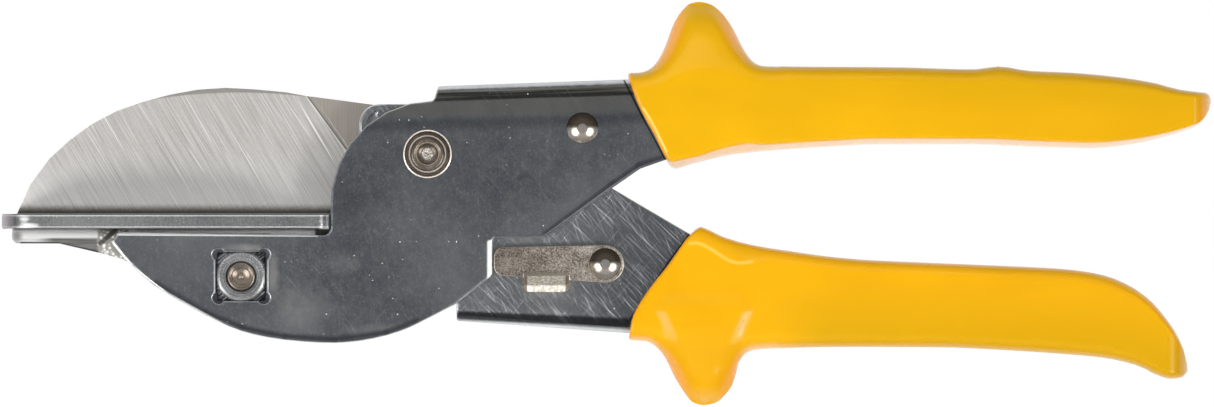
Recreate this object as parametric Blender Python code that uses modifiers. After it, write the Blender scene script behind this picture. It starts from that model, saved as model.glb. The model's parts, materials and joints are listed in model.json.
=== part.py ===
"""Mitre shears: a folded frame with an anvil table, and a lever that carries the blade."""
import math

import bmesh
import bpy
from mathutils import Matrix, Vector

MM = 0.001

# Sheet, fits and cuts
SHEET = 1.5 * MM
SEAT_GAP = 0.3 * MM
WALL_GAP = 0.4 * MM
CUT_RUN = 4.0 * MM
FOLD_RADIUS = 3.2 * MM
WELD_REACH = 0.00001
ROUND_STEPS = 32
ARC_STEP = math.radians(15.0)
CREASE_ANGLE = math.radians(18.0)
GRIP_CREASE = math.radians(40.0)
FLAT_ANGLE = math.radians(0.5)

# Half widths of the nested sheets and of the grips, front to back
FRAME_HALF = 7.5 * MM
FRAME_INSIDE = FRAME_HALF - SHEET
LEVER_HALF = FRAME_INSIDE - WALL_GAP
LEVER_INSIDE = LEVER_HALF - SHEET
CARRIER_HALF = FRAME_INSIDE - SEAT_GAP
CARRIER_INSIDE = CARRIER_HALF - SHEET
GRIP_WALL = 1.8 * MM

# Frame sheet, measured from the pivot
JAW_LENGTH = 65.4 * MM
JAW_TOP = -16.8 * MM
JAW_NOSE_CHAMFER = 1.5 * MM
BELLY_DEPTH = 39.0 * MM
BELLY_SHARES = (
    (-0.957, -0.554), (-0.867, -0.692), (-0.746, -0.813), (-0.625, -0.915), (-0.505, -0.972),
    (-0.339, -1.0), (-0.211, -0.990), (-0.090, -0.941), (0.0, -0.872), (0.089, -0.795),
)
THROAT_X = 1.3 * MM
THROAT_Z = -10.4 * MM
THROAT_RADIUS = 21.4 * MM
THROAT_CORNER = 1.6 * MM
WEB_START_X = 2.2 * MM
WEB_START_Z = 14.0 * MM
WEB_MOUTH_X = 41.0 * MM
WEB_MOUTH_Z = 15.4 * MM
NOTCH_X = 12.1 * MM
NOTCH_TOP = -17.3 * MM
NOTCH_LOW = -24.9 * MM
NOTCH_END_X = 24.1 * MM
NOTCH_CORNER = 1.0 * MM
NOTCH_TOE = 1.6 * MM
FRAME_TANG_LENGTH = 105.0 * MM
FRAME_TANG_HEIGHT = 15.0 * MM
FRAME_TANG_TOP_SHARES = ((0.28, 0.02), (0.66, -0.03), (1.0, -0.17))
FRAME_TANG_LOW_SHARES = (
    (1.0, -0.68), (0.83, -0.74), (0.50, -0.72), (0.29, -0.80), (0.20, -0.87), (0.14, -0.965),
    (0.105, -1.055), (0.077, -1.11), (0.028, -1.23), (-0.028, -1.50),
)

# Lever sheet, measured from the pivot
NOSE_X = -14.5 * MM
NOSE_TOP = 10.3 * MM
NOSE_LOW_X = -14.0 * MM
NOSE_LOW_Z = 2.6 * MM
NOSE_RADIUS = 4.2 * MM
LEVER_WEB_X = 6.0 * MM
LEVER_WEB_TOP = -30.9 * MM
LEVER_WEB_LOW = -34.5 * MM
LEVER_MOUTH_X = 41.3 * MM
LEVER_MOUTH_LOW = -37.0 * MM
LEVER_SHOULDER_X = 4.5 * MM
LEVER_EDGE_X = 38.1 * MM
LEVER_EDGE_Z = -7.1 * MM
LEVER_HEEL_X = -8.0 * MM
LEVER_HEEL_Z = -10.0 * MM
LEVER_TANG_LENGTH = 96.0 * MM
LEVER_TANG_HEIGHT = 20.0 * MM
LEVER_TANG_LOW_SHARES = ((0.25, -0.04), (0.60, -0.04), (0.86, -0.12), (1.0, -0.20))
LEVER_TANG_TOP_SHARES = (
    (1.0, 0.30), (0.88, 0.44), (0.60, 0.57), (0.45, 0.62), (0.30, 0.70), (0.22, 0.79), (0.17, 0.90),
    (0.132, 1.03), (0.10, 1.12), (0.05, 1.26),
)
LEVER_FOLD = 2.7 * MM

# Pivot
PIN_RADIUS = 4.65 * MM
PIN_PROUD = 0.9 * MM
PIN_STEP = 0.25 * MM
PIN_RINGS_SHARE = (0.51, 0.67, 0.85)
BOWL_DEPTH = 1.1 * MM
BOWL_FLOOR_SHARE = 0.62
THREAD_RADIUS = 4.0 * MM
BUSH_WALL = 1.4 * MM
WASHER_RADIUS = 8.0 * MM
WASHER_THICK = 1.2 * MM
NUT_FLATS = 13.0 * MM
NUT_THICK = 5.0 * MM
NUT_LAND = 0.15 * MM
NUT_LEAN = math.radians(25.0)
THREAD_END = 1.0 * MM

# Blade and what holds it
BLADE_HALF = 1.0 * MM
BLADE_TIP_X = -84.9 * MM
BLADE_EDGE_Z = -12.1 * MM
BLADE_BACK_X = -41.5 * MM
BLADE_BACK_Z = -36.0 * MM
BLADE_BACK_RADIUS = 49.7 * MM
BLADE_SHOULDER_X = -24.5 * MM
BLADE_BACK_END_X = -9.0 * MM
BLADE_BACK_END_Z = 9.8 * MM
TANG_HEEL_X = -8.0 * MM
TANG_RIGHT_X = 16.0 * MM
TANG_LOW_Z = -10.5 * MM
TANG_TOP_Z = 9.5 * MM
TANG_CORNER = 3.0 * MM
BLADE_BEVEL = 0.9 * MM
BLADE_BEVEL_HEIGHT = 24.7 * MM
GRIND_TOP_X = -24.9 * MM
GRIND_TOP_Z = 12.3 * MM
GRIND_LOW_X = -7.2 * MM
BLADE_PIN_X = 11.4 * MM
BLADE_PIN_Z = -5.2 * MM
BLADE_PIN_RADIUS = 2.0 * MM
PACKING_RADIUS = 9.0 * MM
PACKING_PIN_RADIUS = 4.2 * MM

# Safety catch, on the front wall of the lever
CATCH_RIVET_X = 36.7 * MM
CATCH_RIVET_Z = -22.7 * MM
CATCH_TIP_X = 13.7 * MM
CATCH_TIP_TOP = -19.3 * MM
CATCH_TIP_LOW = -25.0 * MM
CATCH_CORNER = 1.9 * MM
CATCH_ROUND = 3.9 * MM
TAB_X = 19.9 * MM
TAB_WIDTH = 9.3 * MM
TAB_REACH = 7.0 * MM
TAB_ROOT = -0.15 * MM
TAB_LEAN = math.radians(22.0)
TAB_CORNER = 1.5 * MM
RIVET_HEAD = 3.45 * MM
RIVET_RISE = 1.5 * MM
RIVET_CROWN = 1.15 * MM
RIVET_SHANK = 2.0 * MM
RIVET_TAIL = 3.0 * MM
RIVET_TAIL_THICK = 0.9 * MM
RIVET_STEPS = 24
DOME_STEPS = 5

# Return spring on the rivet of the upper handle
SPRING_RIVET_X = 32.0 * MM
SPRING_RIVET_Z = 5.3 * MM
SPOOL_RADIUS = 3.7 * MM
WIRE = 1.3 * MM
COIL_TURNS = 3
COIL_SIDES = 10
COIL_START = math.radians(82.4)
COIL_HALF_WIDTH = 2.9 * MM
SHORT_LEG = 15.7 * MM
FOOT_X = 31.0 * MM

# Anvil: table, insert, carrier and their fasteners
TABLE_LEFT_X = -88.1 * MM
TABLE_RIGHT_X = -20.8 * MM
TABLE_TOP = -12.4 * MM
TABLE_THICK = 3.0 * MM
TABLE_HALF = 20.0 * MM
TABLE_CORNER = 6.5 * MM
TABLE_RIGHT_CORNER = 1.5 * MM
INSERT_HALF = 3.0 * MM
INSERT_THICK = 1.2 * MM
INSERT_MARGIN = 3.5 * MM
CARRIER_LEFT_X = -85.9 * MM
CARRIER_RIGHT_X = -22.6 * MM
CARRIER_NOSE_HEIGHT = 2.8 * MM
CARRIER_TAIL_X = -7.6 * MM
CARRIER_DEPTH = 19.5 * MM
CARRIER_LOW_SHARES = (
    (0.155, 0.0), (0.29, -0.12), (0.354, -0.186), (0.46, -0.36), (0.60, -0.66), (0.72, -0.87),
    (0.86, -1.0),
)
CARRIER_TAIL_SHARE = 0.72
CARRIER_FOLD = 2.6 * MM
BOLT_X = -38.5 * MM
BOLT_Z = -25.3 * MM
BOLT_RADIUS = 2.85 * MM
BOLT_DISH = 0.5 * MM
BOLT_HEAD_RADIUS = 5.0 * MM
BOLT_HEAD_HEIGHT = 3.6 * MM
SOCKET_FLATS = 5.0 * MM
SOCKET_DEPTH = 2.2 * MM
BOLT_WASHER_RADIUS = 6.2 * MM
BOLT_WASHER_THICK = 1.0 * MM
POCKET_WIDTH = 11.7 * MM
POCKET_HEIGHT = 11.3 * MM
POCKET_DEPTH = 3.3 * MM
POCKET_LOBE = 1.3 * MM
POCKET_LOBE_TURN = math.radians(105.0)
SQUARE_FLATS = 10.0 * MM
WINDOW_MARGIN = 1.0 * MM
SPACER_WALL = 1.7 * MM
SCREW_LEFT_X = -69.0 * MM
SCREW_RIGHT_X = -27.5 * MM
SCREW_RADIUS = 1.8 * MM
SCREW_HEAD_RADIUS = 2.9 * MM
SCREW_HEAD_HEIGHT = 0.9 * MM
SCREW_BITE = 1.0 * MM

# Grips: silhouettes as shares of their own length and height
UPPER_GRIP_X = 38.0 * MM
UPPER_GRIP_LENGTH = 124.1 * MM
UPPER_GRIP_Z = -3.2 * MM
UPPER_GRIP_HEIGHT = 34.7 * MM
UPPER_TOP_SHARES = (
    (0.0, 0.576), (0.044, 0.576), (0.064, 0.591), (0.080, 0.637), (0.093, 0.732), (0.108, 0.882),
    (0.121, 0.954), (0.134, 0.991), (0.147, 1.0), (0.162, 0.989), (0.178, 0.945), (0.197, 0.856),
    (0.217, 0.720), (0.227, 0.654), (0.235, 0.628), (0.251, 0.617), (0.480, 0.608), (0.603, 0.597),
    (0.645, 0.614), (0.695, 0.588), (0.765, 0.576), (0.836, 0.553), (0.907, 0.507), (0.943, 0.478),
    (0.978, 0.461), (0.993, 0.440), (1.0, 0.412),
)
UPPER_LOW_SHARES = (
    (0.0, 0.0), (0.098, 0.0), (0.140, 0.037), (0.204, 0.089), (0.268, 0.112), (0.363, 0.135),
    (0.446, 0.150), (0.588, 0.150), (0.730, 0.133), (0.801, 0.127), (0.872, 0.161), (0.925, 0.207),
    (0.961, 0.251), (0.978, 0.282), (0.993, 0.350), (1.0, 0.400),
)
UPPER_MOUTH_SHARES = (
    (0.012, 1.1), (0.024, 0.58), (0.040, 0.42), (0.072, 0.20), (0.100, -0.02), (0.108, -0.2),
)
LOWER_GRIP_X = 38.5 * MM
LOWER_GRIP_LENGTH = 117.9 * MM
LOWER_GRIP_Z = -52.0 * MM
LOWER_GRIP_HEIGHT = 37.2 * MM
LOWER_TOP_SHARES = (
    (0.0, 1.0), (0.147, 1.0), (0.161, 0.987), (0.193, 0.938), (0.243, 0.892), (0.310, 0.857),
    (0.377, 0.828), (0.444, 0.809), (0.535, 0.796), (0.657, 0.780), (0.780, 0.758), (0.820, 0.742),
    (0.861, 0.712), (0.902, 0.653), (0.934, 0.581), (0.963, 0.473), (0.986, 0.363), (0.997, 0.274),
    (1.0, 0.220),
)
LOWER_LOW_SHARES = (
    (0.0, 0.360), (0.043, 0.360), (0.058, 0.360), (0.075, 0.325), (0.088, 0.274), (0.105, 0.167),
    (0.122, 0.078), (0.139, 0.016), (0.157, 0.0), (0.178, 0.013), (0.197, 0.065), (0.210, 0.132),
    (0.221, 0.261), (0.233, 0.298), (0.256, 0.312), (0.413, 0.325), (0.576, 0.323), (0.657, 0.312),
    (0.780, 0.288), (0.861, 0.263), (0.902, 0.237), (0.926, 0.204), (0.950, 0.159), (0.975, 0.148),
    (0.993, 0.159), (1.0, 0.205),
)
LOWER_MOUTH_SHARES = (
    (0.150, 1.06), (0.131, 0.957), (0.116, 0.885), (0.097, 0.796), (0.062, 0.656), (0.036, 0.532),
    (0.026, 0.462), (0.022, 0.400), (0.024, 0.32),
)
GRIP_FINE_STEP = 1.8 * MM
GRIP_LONG_STEP = 6.0 * MM
GRIP_FINE_SHARE = 0.27
GRIP_TAIL_SHARE = 0.91
GRIP_CORNER = 3.0 * MM
CORNER_FIT_SHARE = 0.9
MITRE_LIMIT_SHARE = 0.5
GRIP_TAIL_ROUND = 9.0 * MM
GRIP_TAIL_FLOOR_SHARE = 0.25
HORN_THIN_SHARE = 0.4
HORN_THIN_RUN = 9.0 * MM
UPPER_HORN_BASE_SHARE = 0.64
LOWER_HORN_BASE_SHARE = 0.29

PARTS = "mitre_shears"
CUTTERS = "cutters"


def clear_scene():
    """Empty the scene and make the collections for the parts and the cutters."""
    for old in list(bpy.data.objects):
        bpy.data.objects.remove(old, do_unlink=True)
    for title in (PARTS, CUTTERS):
        bpy.context.scene.collection.children.link(bpy.data.collections.new(title))


def finish(title, colour, roughness, metallic):
    """Return a plain shaded material."""
    material = bpy.data.materials.new(title)
    material.use_nodes = True
    shader = material.node_tree.nodes["Principled BSDF"]
    shader.inputs["Base Color"].default_value = (*colour, 1.0)
    shader.inputs["Roughness"].default_value = roughness
    shader.inputs["Metallic"].default_value = metallic
    return material


def arc(centre_x, centre_z, radius, start, end):
    """Return points along an arc, both ends included, angles in radians."""
    steps = max(2, math.ceil(abs(end - start) / ARC_STEP))
    turns = [start + (end - start) * step / steps for step in range(steps + 1)]
    return [(centre_x + radius * math.cos(a), centre_z + radius * math.sin(a)) for a in turns]


def smooth_run(points, steps=3):
    """Return a smooth run through the points, both ends included."""
    run = []
    last = len(points) - 1
    for i in range(last):
        before, a, b, after = (Vector(points[max(0, min(last, i + k))]) for k in (-1, 0, 1, 2))
        for step in range(steps):
            t = step / steps
            spot = 0.5 * (2 * a + (b - before) * t + (2 * before - 5 * a + 4 * b - after) * t * t
                          + (3 * a - before - 3 * b + after) * t ** 3)
            run.append(tuple(spot))
    run.append(tuple(points[last]))
    return run


def corner(before, at, after, radius):
    """Return the arc that rounds the corner at a point between two straight sides."""
    spot = Vector(at)
    to_before = (Vector(before) - spot).normalized()
    to_after = (Vector(after) - spot).normalized()
    half = to_before.angle(to_after) / 2
    middle = spot + (to_before + to_after).normalized() * radius / math.sin(half)
    reach = radius / math.tan(half)
    first = spot + to_before * reach - middle
    final = spot + to_after * reach - middle
    start = math.atan2(first.y, first.x)
    sweep = (math.atan2(final.y, final.x) - start + math.pi) % (2 * math.pi) - math.pi
    return arc(middle.x, middle.y, radius, start, start + sweep)


def scaled(shares, from_x, from_z, size_x, size_z):
    """Return outline points from shares of two sizes, measured from a place."""
    return [(from_x + x * size_x, from_z + z * size_z) for x, z in shares]


def keep(obj, home):
    """Put an object in one collection only."""
    for collection in list(obj.users_collection):
        collection.objects.unlink(obj)
    bpy.data.collections[home].objects.link(obj)
    if home == CUTTERS:
        obj.hide_render = True
        obj.display_type = "WIRE"
    return obj


def settled_mesh(obj):
    """Swap a curve or a modified object for the plain closed mesh that it shows."""
    view = bpy.context.evaluated_depsgraph_get()
    mesh = bpy.data.meshes.new_from_object(obj.evaluated_get(view))
    mesh.transform(obj.matrix_world)
    title = obj.name
    bpy.data.objects.remove(obj, do_unlink=True)
    work = bmesh.new()
    work.from_mesh(mesh)
    bmesh.ops.remove_doubles(work, verts=work.verts, dist=WELD_REACH)
    bmesh.ops.dissolve_limit(
        work, angle_limit=FLAT_ANGLE, verts=work.verts, edges=work.edges)
    bmesh.ops.recalc_face_normals(work, faces=work.faces)
    work.to_mesh(mesh)
    work.free()
    fresh = bpy.data.objects.new(title, mesh)
    mesh.name = title
    bpy.context.scene.collection.objects.link(fresh)
    bpy.context.view_layer.update()
    return fresh


def prism(title, outline, y_from, y_to, home=CUTTERS):
    """Make a plate from an outline in the XZ plane, between two depths."""
    curve = bpy.data.curves.new(title, "CURVE")
    curve.dimensions = "2D"
    curve.fill_mode = "BOTH"
    curve.extrude = (y_to - y_from) / 2
    spline = curve.splines.new("POLY")
    spline.points.add(len(outline) - 1)
    for point, (x, z) in zip(spline.points, outline):
        point.co = (x, z, 0.0, 1.0)
    spline.use_cyclic_u = True
    obj = bpy.data.objects.new(title, curve)
    bpy.context.scene.collection.objects.link(obj)
    obj.rotation_euler = (math.pi / 2, 0.0, 0.0)
    obj.location = (0.0, (y_from + y_to) / 2, 0.0)
    bpy.context.view_layer.update()
    return keep(settled_mesh(obj), home)


def plan_prism(title, outline, z_from, z_to, home=CUTTERS):
    """Make a plate from an outline in the XY plane, between two heights."""
    obj = prism(title, outline, -z_to, -z_from, home)
    obj.data.transform(Matrix.Rotation(-math.pi / 2, 4, "X"))
    return obj


def turned(title, profile, x, z, steps=ROUND_STEPS, home=CUTTERS):
    """Turn a profile of (radius, y) about the Y direction through (x, z)."""
    mesh = bpy.data.meshes.new(title)
    points = [(radius, 0.0, -y) for radius, y in profile]
    mesh.from_pydata(points, [(i, i + 1) for i in range(len(points) - 1)], [])
    obj = bpy.data.objects.new(title, mesh)
    bpy.context.scene.collection.objects.link(obj)
    screw = obj.modifiers.new("Turn", "SCREW")
    screw.axis = "Z"
    screw.steps = steps
    screw.render_steps = steps
    screw.use_merge_vertices = True
    screw.merge_threshold = WELD_REACH
    obj.rotation_euler = (math.pi / 2, 0.0, 0.0)
    obj.location = (x, 0.0, z)
    bpy.context.view_layer.update()
    return keep(settled_mesh(obj), home)


def rod(title, radius, y_from, y_to, x, z, home=CUTTERS):
    """Make a round rod along Y."""
    profile = [(0.0, y_from), (radius, y_from), (radius, y_to), (0.0, y_to)]
    return turned(title, profile, x, z, home=home)


def tube(title, bore, radius, y_from, y_to, x, z, home=PARTS):
    """Make a sleeve or a washer along Y."""
    profile = [(bore, y_from), (radius, y_from), (radius, y_to), (bore, y_to), (bore, y_from)]
    return turned(title, profile, x, z, home=home)


def combine(obj, operation, tool):
    """Add a Boolean modifier."""
    modifier = obj.modifiers.new(operation.title(), "BOOLEAN")
    modifier.operation = operation
    modifier.solver = "EXACT"
    modifier.object = tool
    return obj


def cut(obj, tool):
    """Cut one object with another."""
    return combine(obj, "DIFFERENCE", tool)


def folded_bar(title, half_width, path, fold, depth):
    """Make a bar whose section has two rounded corners on the side that follows a path.

    A negative depth puts the rounded side on top.
    """
    side = -1.0 if depth > 0 else 1.0
    section = [(y, side * z) for y, z in
               arc(half_width - fold, -fold, fold, 0.0, math.pi / 2)
               + arc(fold - half_width, -fold, fold, math.pi / 2, math.pi)]
    section = [(-half_width, depth)] + section[::-1] + [(half_width, depth)]
    work = bmesh.new()
    x, z = path[0]
    face = work.faces.new([work.verts.new((x, y, z + rise)) for y, rise in section])
    for (x_from, z_from), (x_to, z_to) in zip(path, path[1:]):
        grown = bmesh.ops.extrude_face_region(work, geom=[face])["geom"]
        bmesh.ops.delete(work, geom=[face], context="FACES_ONLY")
        moved = [item for item in grown if isinstance(item, bmesh.types.BMVert)]
        bmesh.ops.translate(work, vec=(x_to - x_from, 0.0, z_to - z_from), verts=moved)
        face = next(item for item in grown if isinstance(item, bmesh.types.BMFace))
    bmesh.ops.holes_fill(work, edges=[edge for edge in work.edges if edge.is_boundary])
    bmesh.ops.recalc_face_normals(work, faces=work.faces)
    mesh = bpy.data.meshes.new(title)
    work.to_mesh(mesh)
    work.free()
    obj = bpy.data.objects.new(title, mesh)
    bpy.context.scene.collection.objects.link(obj)
    return keep(obj, CUTTERS)


def folded_sheet(title, outline, half_width, path, fold, depth):
    """Make a U-shaped sheet: the outline cut from a rounded bar, hollowed to the sheet."""
    body = prism(title, outline, -half_width - CUT_RUN, half_width + CUT_RUN, PARTS)
    combine(body, "INTERSECT", folded_bar(title + "_skin", half_width, path, fold, depth))
    lift = SHEET if depth > 0 else -SHEET
    inner_path = [(x, z + lift) for x, z in path]
    inner_path[0] = (inner_path[0][0] - CUT_RUN, inner_path[0][1])
    inner_path[-1] = (inner_path[-1][0] + CUT_RUN, inner_path[-1][1])
    inner_depth = depth + math.copysign(CUT_RUN, depth)
    return cut(body, folded_bar(title + "_hollow", half_width - SHEET, inner_path, fold - SHEET,
                                inner_depth))


def frame_tang_top():
    """Return the web line of the frame inside the upper grip, from the mouth to its end."""
    return scaled(FRAME_TANG_TOP_SHARES, WEB_MOUTH_X, WEB_MOUTH_Z, FRAME_TANG_LENGTH, FRAME_TANG_HEIGHT)


def frame_tang_low():
    """Return the lower edge of the upper handle, from its end back to its root."""
    return scaled(FRAME_TANG_LOW_SHARES, WEB_MOUTH_X, WEB_MOUTH_Z, FRAME_TANG_LENGTH, FRAME_TANG_HEIGHT)


def throat_points():
    """Return the round throat of the frame, from the jaw up to the web."""
    low = math.atan2(BLADE_EDGE_Z - THROAT_Z, -THROAT_RADIUS)
    return arc(THROAT_X, THROAT_Z, THROAT_RADIUS, low % (2 * math.pi), math.pi / 2)


def frame_outline():
    """Return the outline of the frame sheet seen from the front."""
    throat = throat_points()
    back_x = throat[0][0]
    jaw_tip = (-JAW_LENGTH + JAW_NOSE_CHAMFER, JAW_TOP)
    belly = smooth_run(scaled(BELLY_SHARES, 0.0, 0.0, JAW_LENGTH, BELLY_DEPTH))
    outline = [(WEB_START_X, WEB_START_Z), (WEB_MOUTH_X, WEB_MOUTH_Z)]
    outline += frame_tang_top() + frame_tang_low()
    outline += corner(outline[-1], (NOTCH_END_X, NOTCH_TOP), (NOTCH_X, NOTCH_TOP), NOTCH_CORNER)
    outline += corner((NOTCH_END_X, NOTCH_TOP), (NOTCH_X, NOTCH_TOP), (NOTCH_X, NOTCH_LOW), NOTCH_CORNER)
    outline += corner((NOTCH_X, NOTCH_TOP), (NOTCH_X, NOTCH_LOW), belly[-1], NOTCH_TOE) + belly[::-1]
    outline += [(-JAW_LENGTH, JAW_TOP - JAW_NOSE_CHAMFER), jaw_tip]
    outline += corner(jaw_tip, (back_x, JAW_TOP), throat[0], THROAT_CORNER)
    return outline + throat


def pocket_outline(margin=0.0):
    """Return the square pocket of the nut with a round lobe in each corner."""
    points = []
    for quarter in range(4):
        turn = math.pi / 4 + quarter * math.pi / 2
        x = math.copysign(POCKET_WIDTH / 2, math.cos(turn))
        z = math.copysign(POCKET_HEIGHT / 2, math.sin(turn))
        lobe = POCKET_LOBE + margin
        inset = POCKET_LOBE / 2
        points += arc(BOLT_X + x - math.copysign(inset, x), BOLT_Z + z - math.copysign(inset, z),
                      lobe, turn - POCKET_LOBE_TURN, turn + POCKET_LOBE_TURN)
    return points


def main_frame(material):
    """Folded sheet with the two jaw plates, the pivot cheeks and the upper handle channel."""
    path = [(-JAW_LENGTH - CUT_RUN, WEB_START_Z), (WEB_START_X, WEB_START_Z),
            (WEB_MOUTH_X, WEB_MOUTH_Z)] + frame_tang_top()
    path[-1] = (path[-1][0] + CUT_RUN, path[-1][1])
    frame = folded_sheet("main_frame", frame_outline(), FRAME_HALF, path, FOLD_RADIUS,
                         -(WEB_START_Z + BELLY_DEPTH + CUT_RUN))
    front = -FRAME_HALF
    cup = prism("pocket_cup", pocket_outline(SHEET), front + SHEET / 2, front + POCKET_DEPTH + SHEET)
    combine(frame, "UNION", cup)
    cut(frame, prism("pocket_room", pocket_outline(), front - CUT_RUN, front + POCKET_DEPTH))
    cut(frame, rod("bolt_way", BOLT_RADIUS + SEAT_GAP, -FRAME_HALF - CUT_RUN, FRAME_HALF + CUT_RUN,
                   BOLT_X, BOLT_Z))
    cut(frame, rod("pivot_way", PIN_RADIUS + SEAT_GAP, -FRAME_HALF - CUT_RUN, FRAME_HALF + CUT_RUN,
                   0.0, 0.0))
    cut(frame, rod("spring_rivet_way", RIVET_SHANK + SEAT_GAP, -FRAME_HALF - CUT_RUN,
                   FRAME_HALF + CUT_RUN, SPRING_RIVET_X, SPRING_RIVET_Z))
    return dress(frame, material)


def lever_tang_low():
    """Return the web line of the lever inside the lower grip, from the mouth to its end."""
    return scaled(LEVER_TANG_LOW_SHARES, LEVER_MOUTH_X, LEVER_MOUTH_LOW, LEVER_TANG_LENGTH,
                  LEVER_TANG_HEIGHT)


def lever_tang_top():
    """Return the upper edge of the lower handle, from its end back to the mouth."""
    return scaled(LEVER_TANG_TOP_SHARES, LEVER_MOUTH_X, LEVER_MOUTH_LOW, LEVER_TANG_LENGTH,
                  LEVER_TANG_HEIGHT)


def lever_outline():
    """Return the outline of the lever sheet seen from the front."""
    nose_low = (NOSE_LOW_X, NOSE_LOW_Z)
    nose_high = (NOSE_X, NOSE_TOP)
    shoulder = (LEVER_SHOULDER_X, NOSE_TOP)
    outline = corner(nose_low, nose_high, shoulder, NOSE_RADIUS)
    outline += corner(nose_high, shoulder, (LEVER_EDGE_X, LEVER_EDGE_Z), NOSE_RADIUS)
    outline += [(LEVER_EDGE_X, LEVER_EDGE_Z)] + lever_tang_top()[::-1] + lever_tang_low()[::-1]
    outline += [(LEVER_MOUTH_X, LEVER_MOUTH_LOW), (LEVER_WEB_X, LEVER_WEB_LOW)]
    outline += [(LEVER_WEB_X, LEVER_WEB_TOP), (LEVER_HEEL_X, LEVER_HEEL_Z), nose_low]
    return outline


def handle_lever(material):
    """Folded sheet with the nose over the blade, the two cheeks and the lower handle channel."""
    path = [(NOSE_X - CUT_RUN, LEVER_WEB_LOW), (LEVER_WEB_X, LEVER_WEB_LOW),
            (LEVER_MOUTH_X, LEVER_MOUTH_LOW)] + lever_tang_low()
    path[-1] = (path[-1][0] + CUT_RUN, path[-1][1])
    lever = folded_sheet("handle_lever", lever_outline(), LEVER_HALF, path, LEVER_FOLD,
                         NOSE_TOP - LEVER_WEB_LOW + CUT_RUN)
    bush_radius = PIN_RADIUS + SEAT_GAP + BUSH_WALL
    cut(lever, rod("bush_way", bush_radius + SEAT_GAP, -LEVER_HALF - CUT_RUN, LEVER_HALF + CUT_RUN,
                   0.0, 0.0))
    cut(lever, rod("blade_pin_way", BLADE_PIN_RADIUS + SEAT_GAP, -LEVER_HALF - CUT_RUN,
                   LEVER_HALF + CUT_RUN, BLADE_PIN_X, BLADE_PIN_Z))
    cut(lever, rod("catch_rivet_way", RIVET_SHANK + SEAT_GAP, -LEVER_HALF - CUT_RUN, 0.0,
                   CATCH_RIVET_X, CATCH_RIVET_Z))
    return dress(lever, material)


def dress(obj, material, crease=CREASE_ANGLE):
    """Give an object its material and its shading."""
    obj.data.materials.clear()
    obj.data.materials.append(material)
    obj.data.shade_smooth()
    obj.data.set_sharp_from_angle(angle=crease)
    return obj


def pivot_pin(material):
    """Turned pin with stepped rings and a bowl in its front end, threaded at the back."""
    front = -FRAME_HALF - PIN_PROUD
    bowl, inner, outer = (share * PIN_RADIUS for share in PIN_RINGS_SHARE)
    seat = FRAME_HALF + SEAT_GAP
    end = seat + WASHER_THICK + SEAT_GAP + NUT_THICK + THREAD_END
    profile = [(0.0, front + BOWL_DEPTH), (bowl * BOWL_FLOOR_SHARE, front + BOWL_DEPTH), (bowl, front),
               (inner, front), (inner, front + PIN_STEP), (outer, front + PIN_STEP),
               (outer, front + 2 * PIN_STEP), (PIN_RADIUS, front + 2 * PIN_STEP),
               (PIN_RADIUS, FRAME_HALF - SHEET / 2), (THREAD_RADIUS, FRAME_HALF - SHEET / 2),
               (THREAD_RADIUS, end - PIN_STEP), (THREAD_RADIUS - PIN_STEP, end), (0.0, end)]
    return dress(turned("pivot_pin", profile, 0.0, 0.0, home=PARTS), material)


def pivot_bush(material):
    """Sleeve that the lever and the blade turn with, around the pin."""
    bore = PIN_RADIUS + SEAT_GAP
    return dress(tube("pivot_bush", bore, bore + BUSH_WALL, -LEVER_HALF, LEVER_HALF, 0.0, 0.0), material)


def pivot_washer(material):
    """Washer behind the rear plate."""
    y = FRAME_HALF + SEAT_GAP
    bore = THREAD_RADIUS + SEAT_GAP
    return dress(tube("pivot_washer", bore, WASHER_RADIUS, y, y + WASHER_THICK, 0.0, 0.0), material)


def polygon(sides, across_flats, x, z):
    """Return a regular outline from its size across flats."""
    radius = across_flats / 2 / math.cos(math.pi / sides)
    turns = [math.pi / sides + k * 2 * math.pi / sides for k in range(sides)]
    return [(x + radius * math.cos(a), z + radius * math.sin(a)) for a in turns]


def nut(title, sides, flats, bore, y_from, y_to, x, z, material):
    """Make a nut with chamfered corners and a bore."""
    body = prism(title, polygon(sides, flats, x, z), y_from, y_to, PARTS)
    wide = flats / math.cos(math.pi / sides) / 2
    lathe = flats / 2 - NUT_LAND
    profile = [(0.0, y_from - SEAT_GAP), (lathe - SEAT_GAP, y_from - SEAT_GAP),
               (wide + SEAT_GAP, y_from + (wide - lathe) * math.tan(NUT_LEAN) + SEAT_GAP),
               (wide + SEAT_GAP, y_to + SEAT_GAP), (0.0, y_to + SEAT_GAP)]
    combine(body, "INTERSECT", turned(title + "_chamfer", profile, x, z))
    cut(body, rod(title + "_bore", bore, y_from - CUT_RUN, y_to + CUT_RUN, x, z))
    return dress(body, material)


def pivot_nut(material):
    """Six-sided nut on the rear end of the pivot."""
    y = FRAME_HALF + SEAT_GAP + WASHER_THICK + SEAT_GAP
    return nut("pivot_nut", 6, NUT_FLATS, THREAD_RADIUS + SEAT_GAP, y, y + NUT_THICK, 0.0, 0.0,
               material)


def blade_back():
    """Return the back of the blade, from the tip over its round back to the tang."""
    rise = BLADE_EDGE_Z - BLADE_BACK_Z
    start = math.atan2(rise, -math.sqrt(BLADE_BACK_RADIUS ** 2 - rise ** 2))
    end = math.acos((BLADE_SHOULDER_X - BLADE_BACK_X) / BLADE_BACK_RADIUS)
    return arc(BLADE_BACK_X, BLADE_BACK_Z, BLADE_BACK_RADIUS, start, end)


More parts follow.
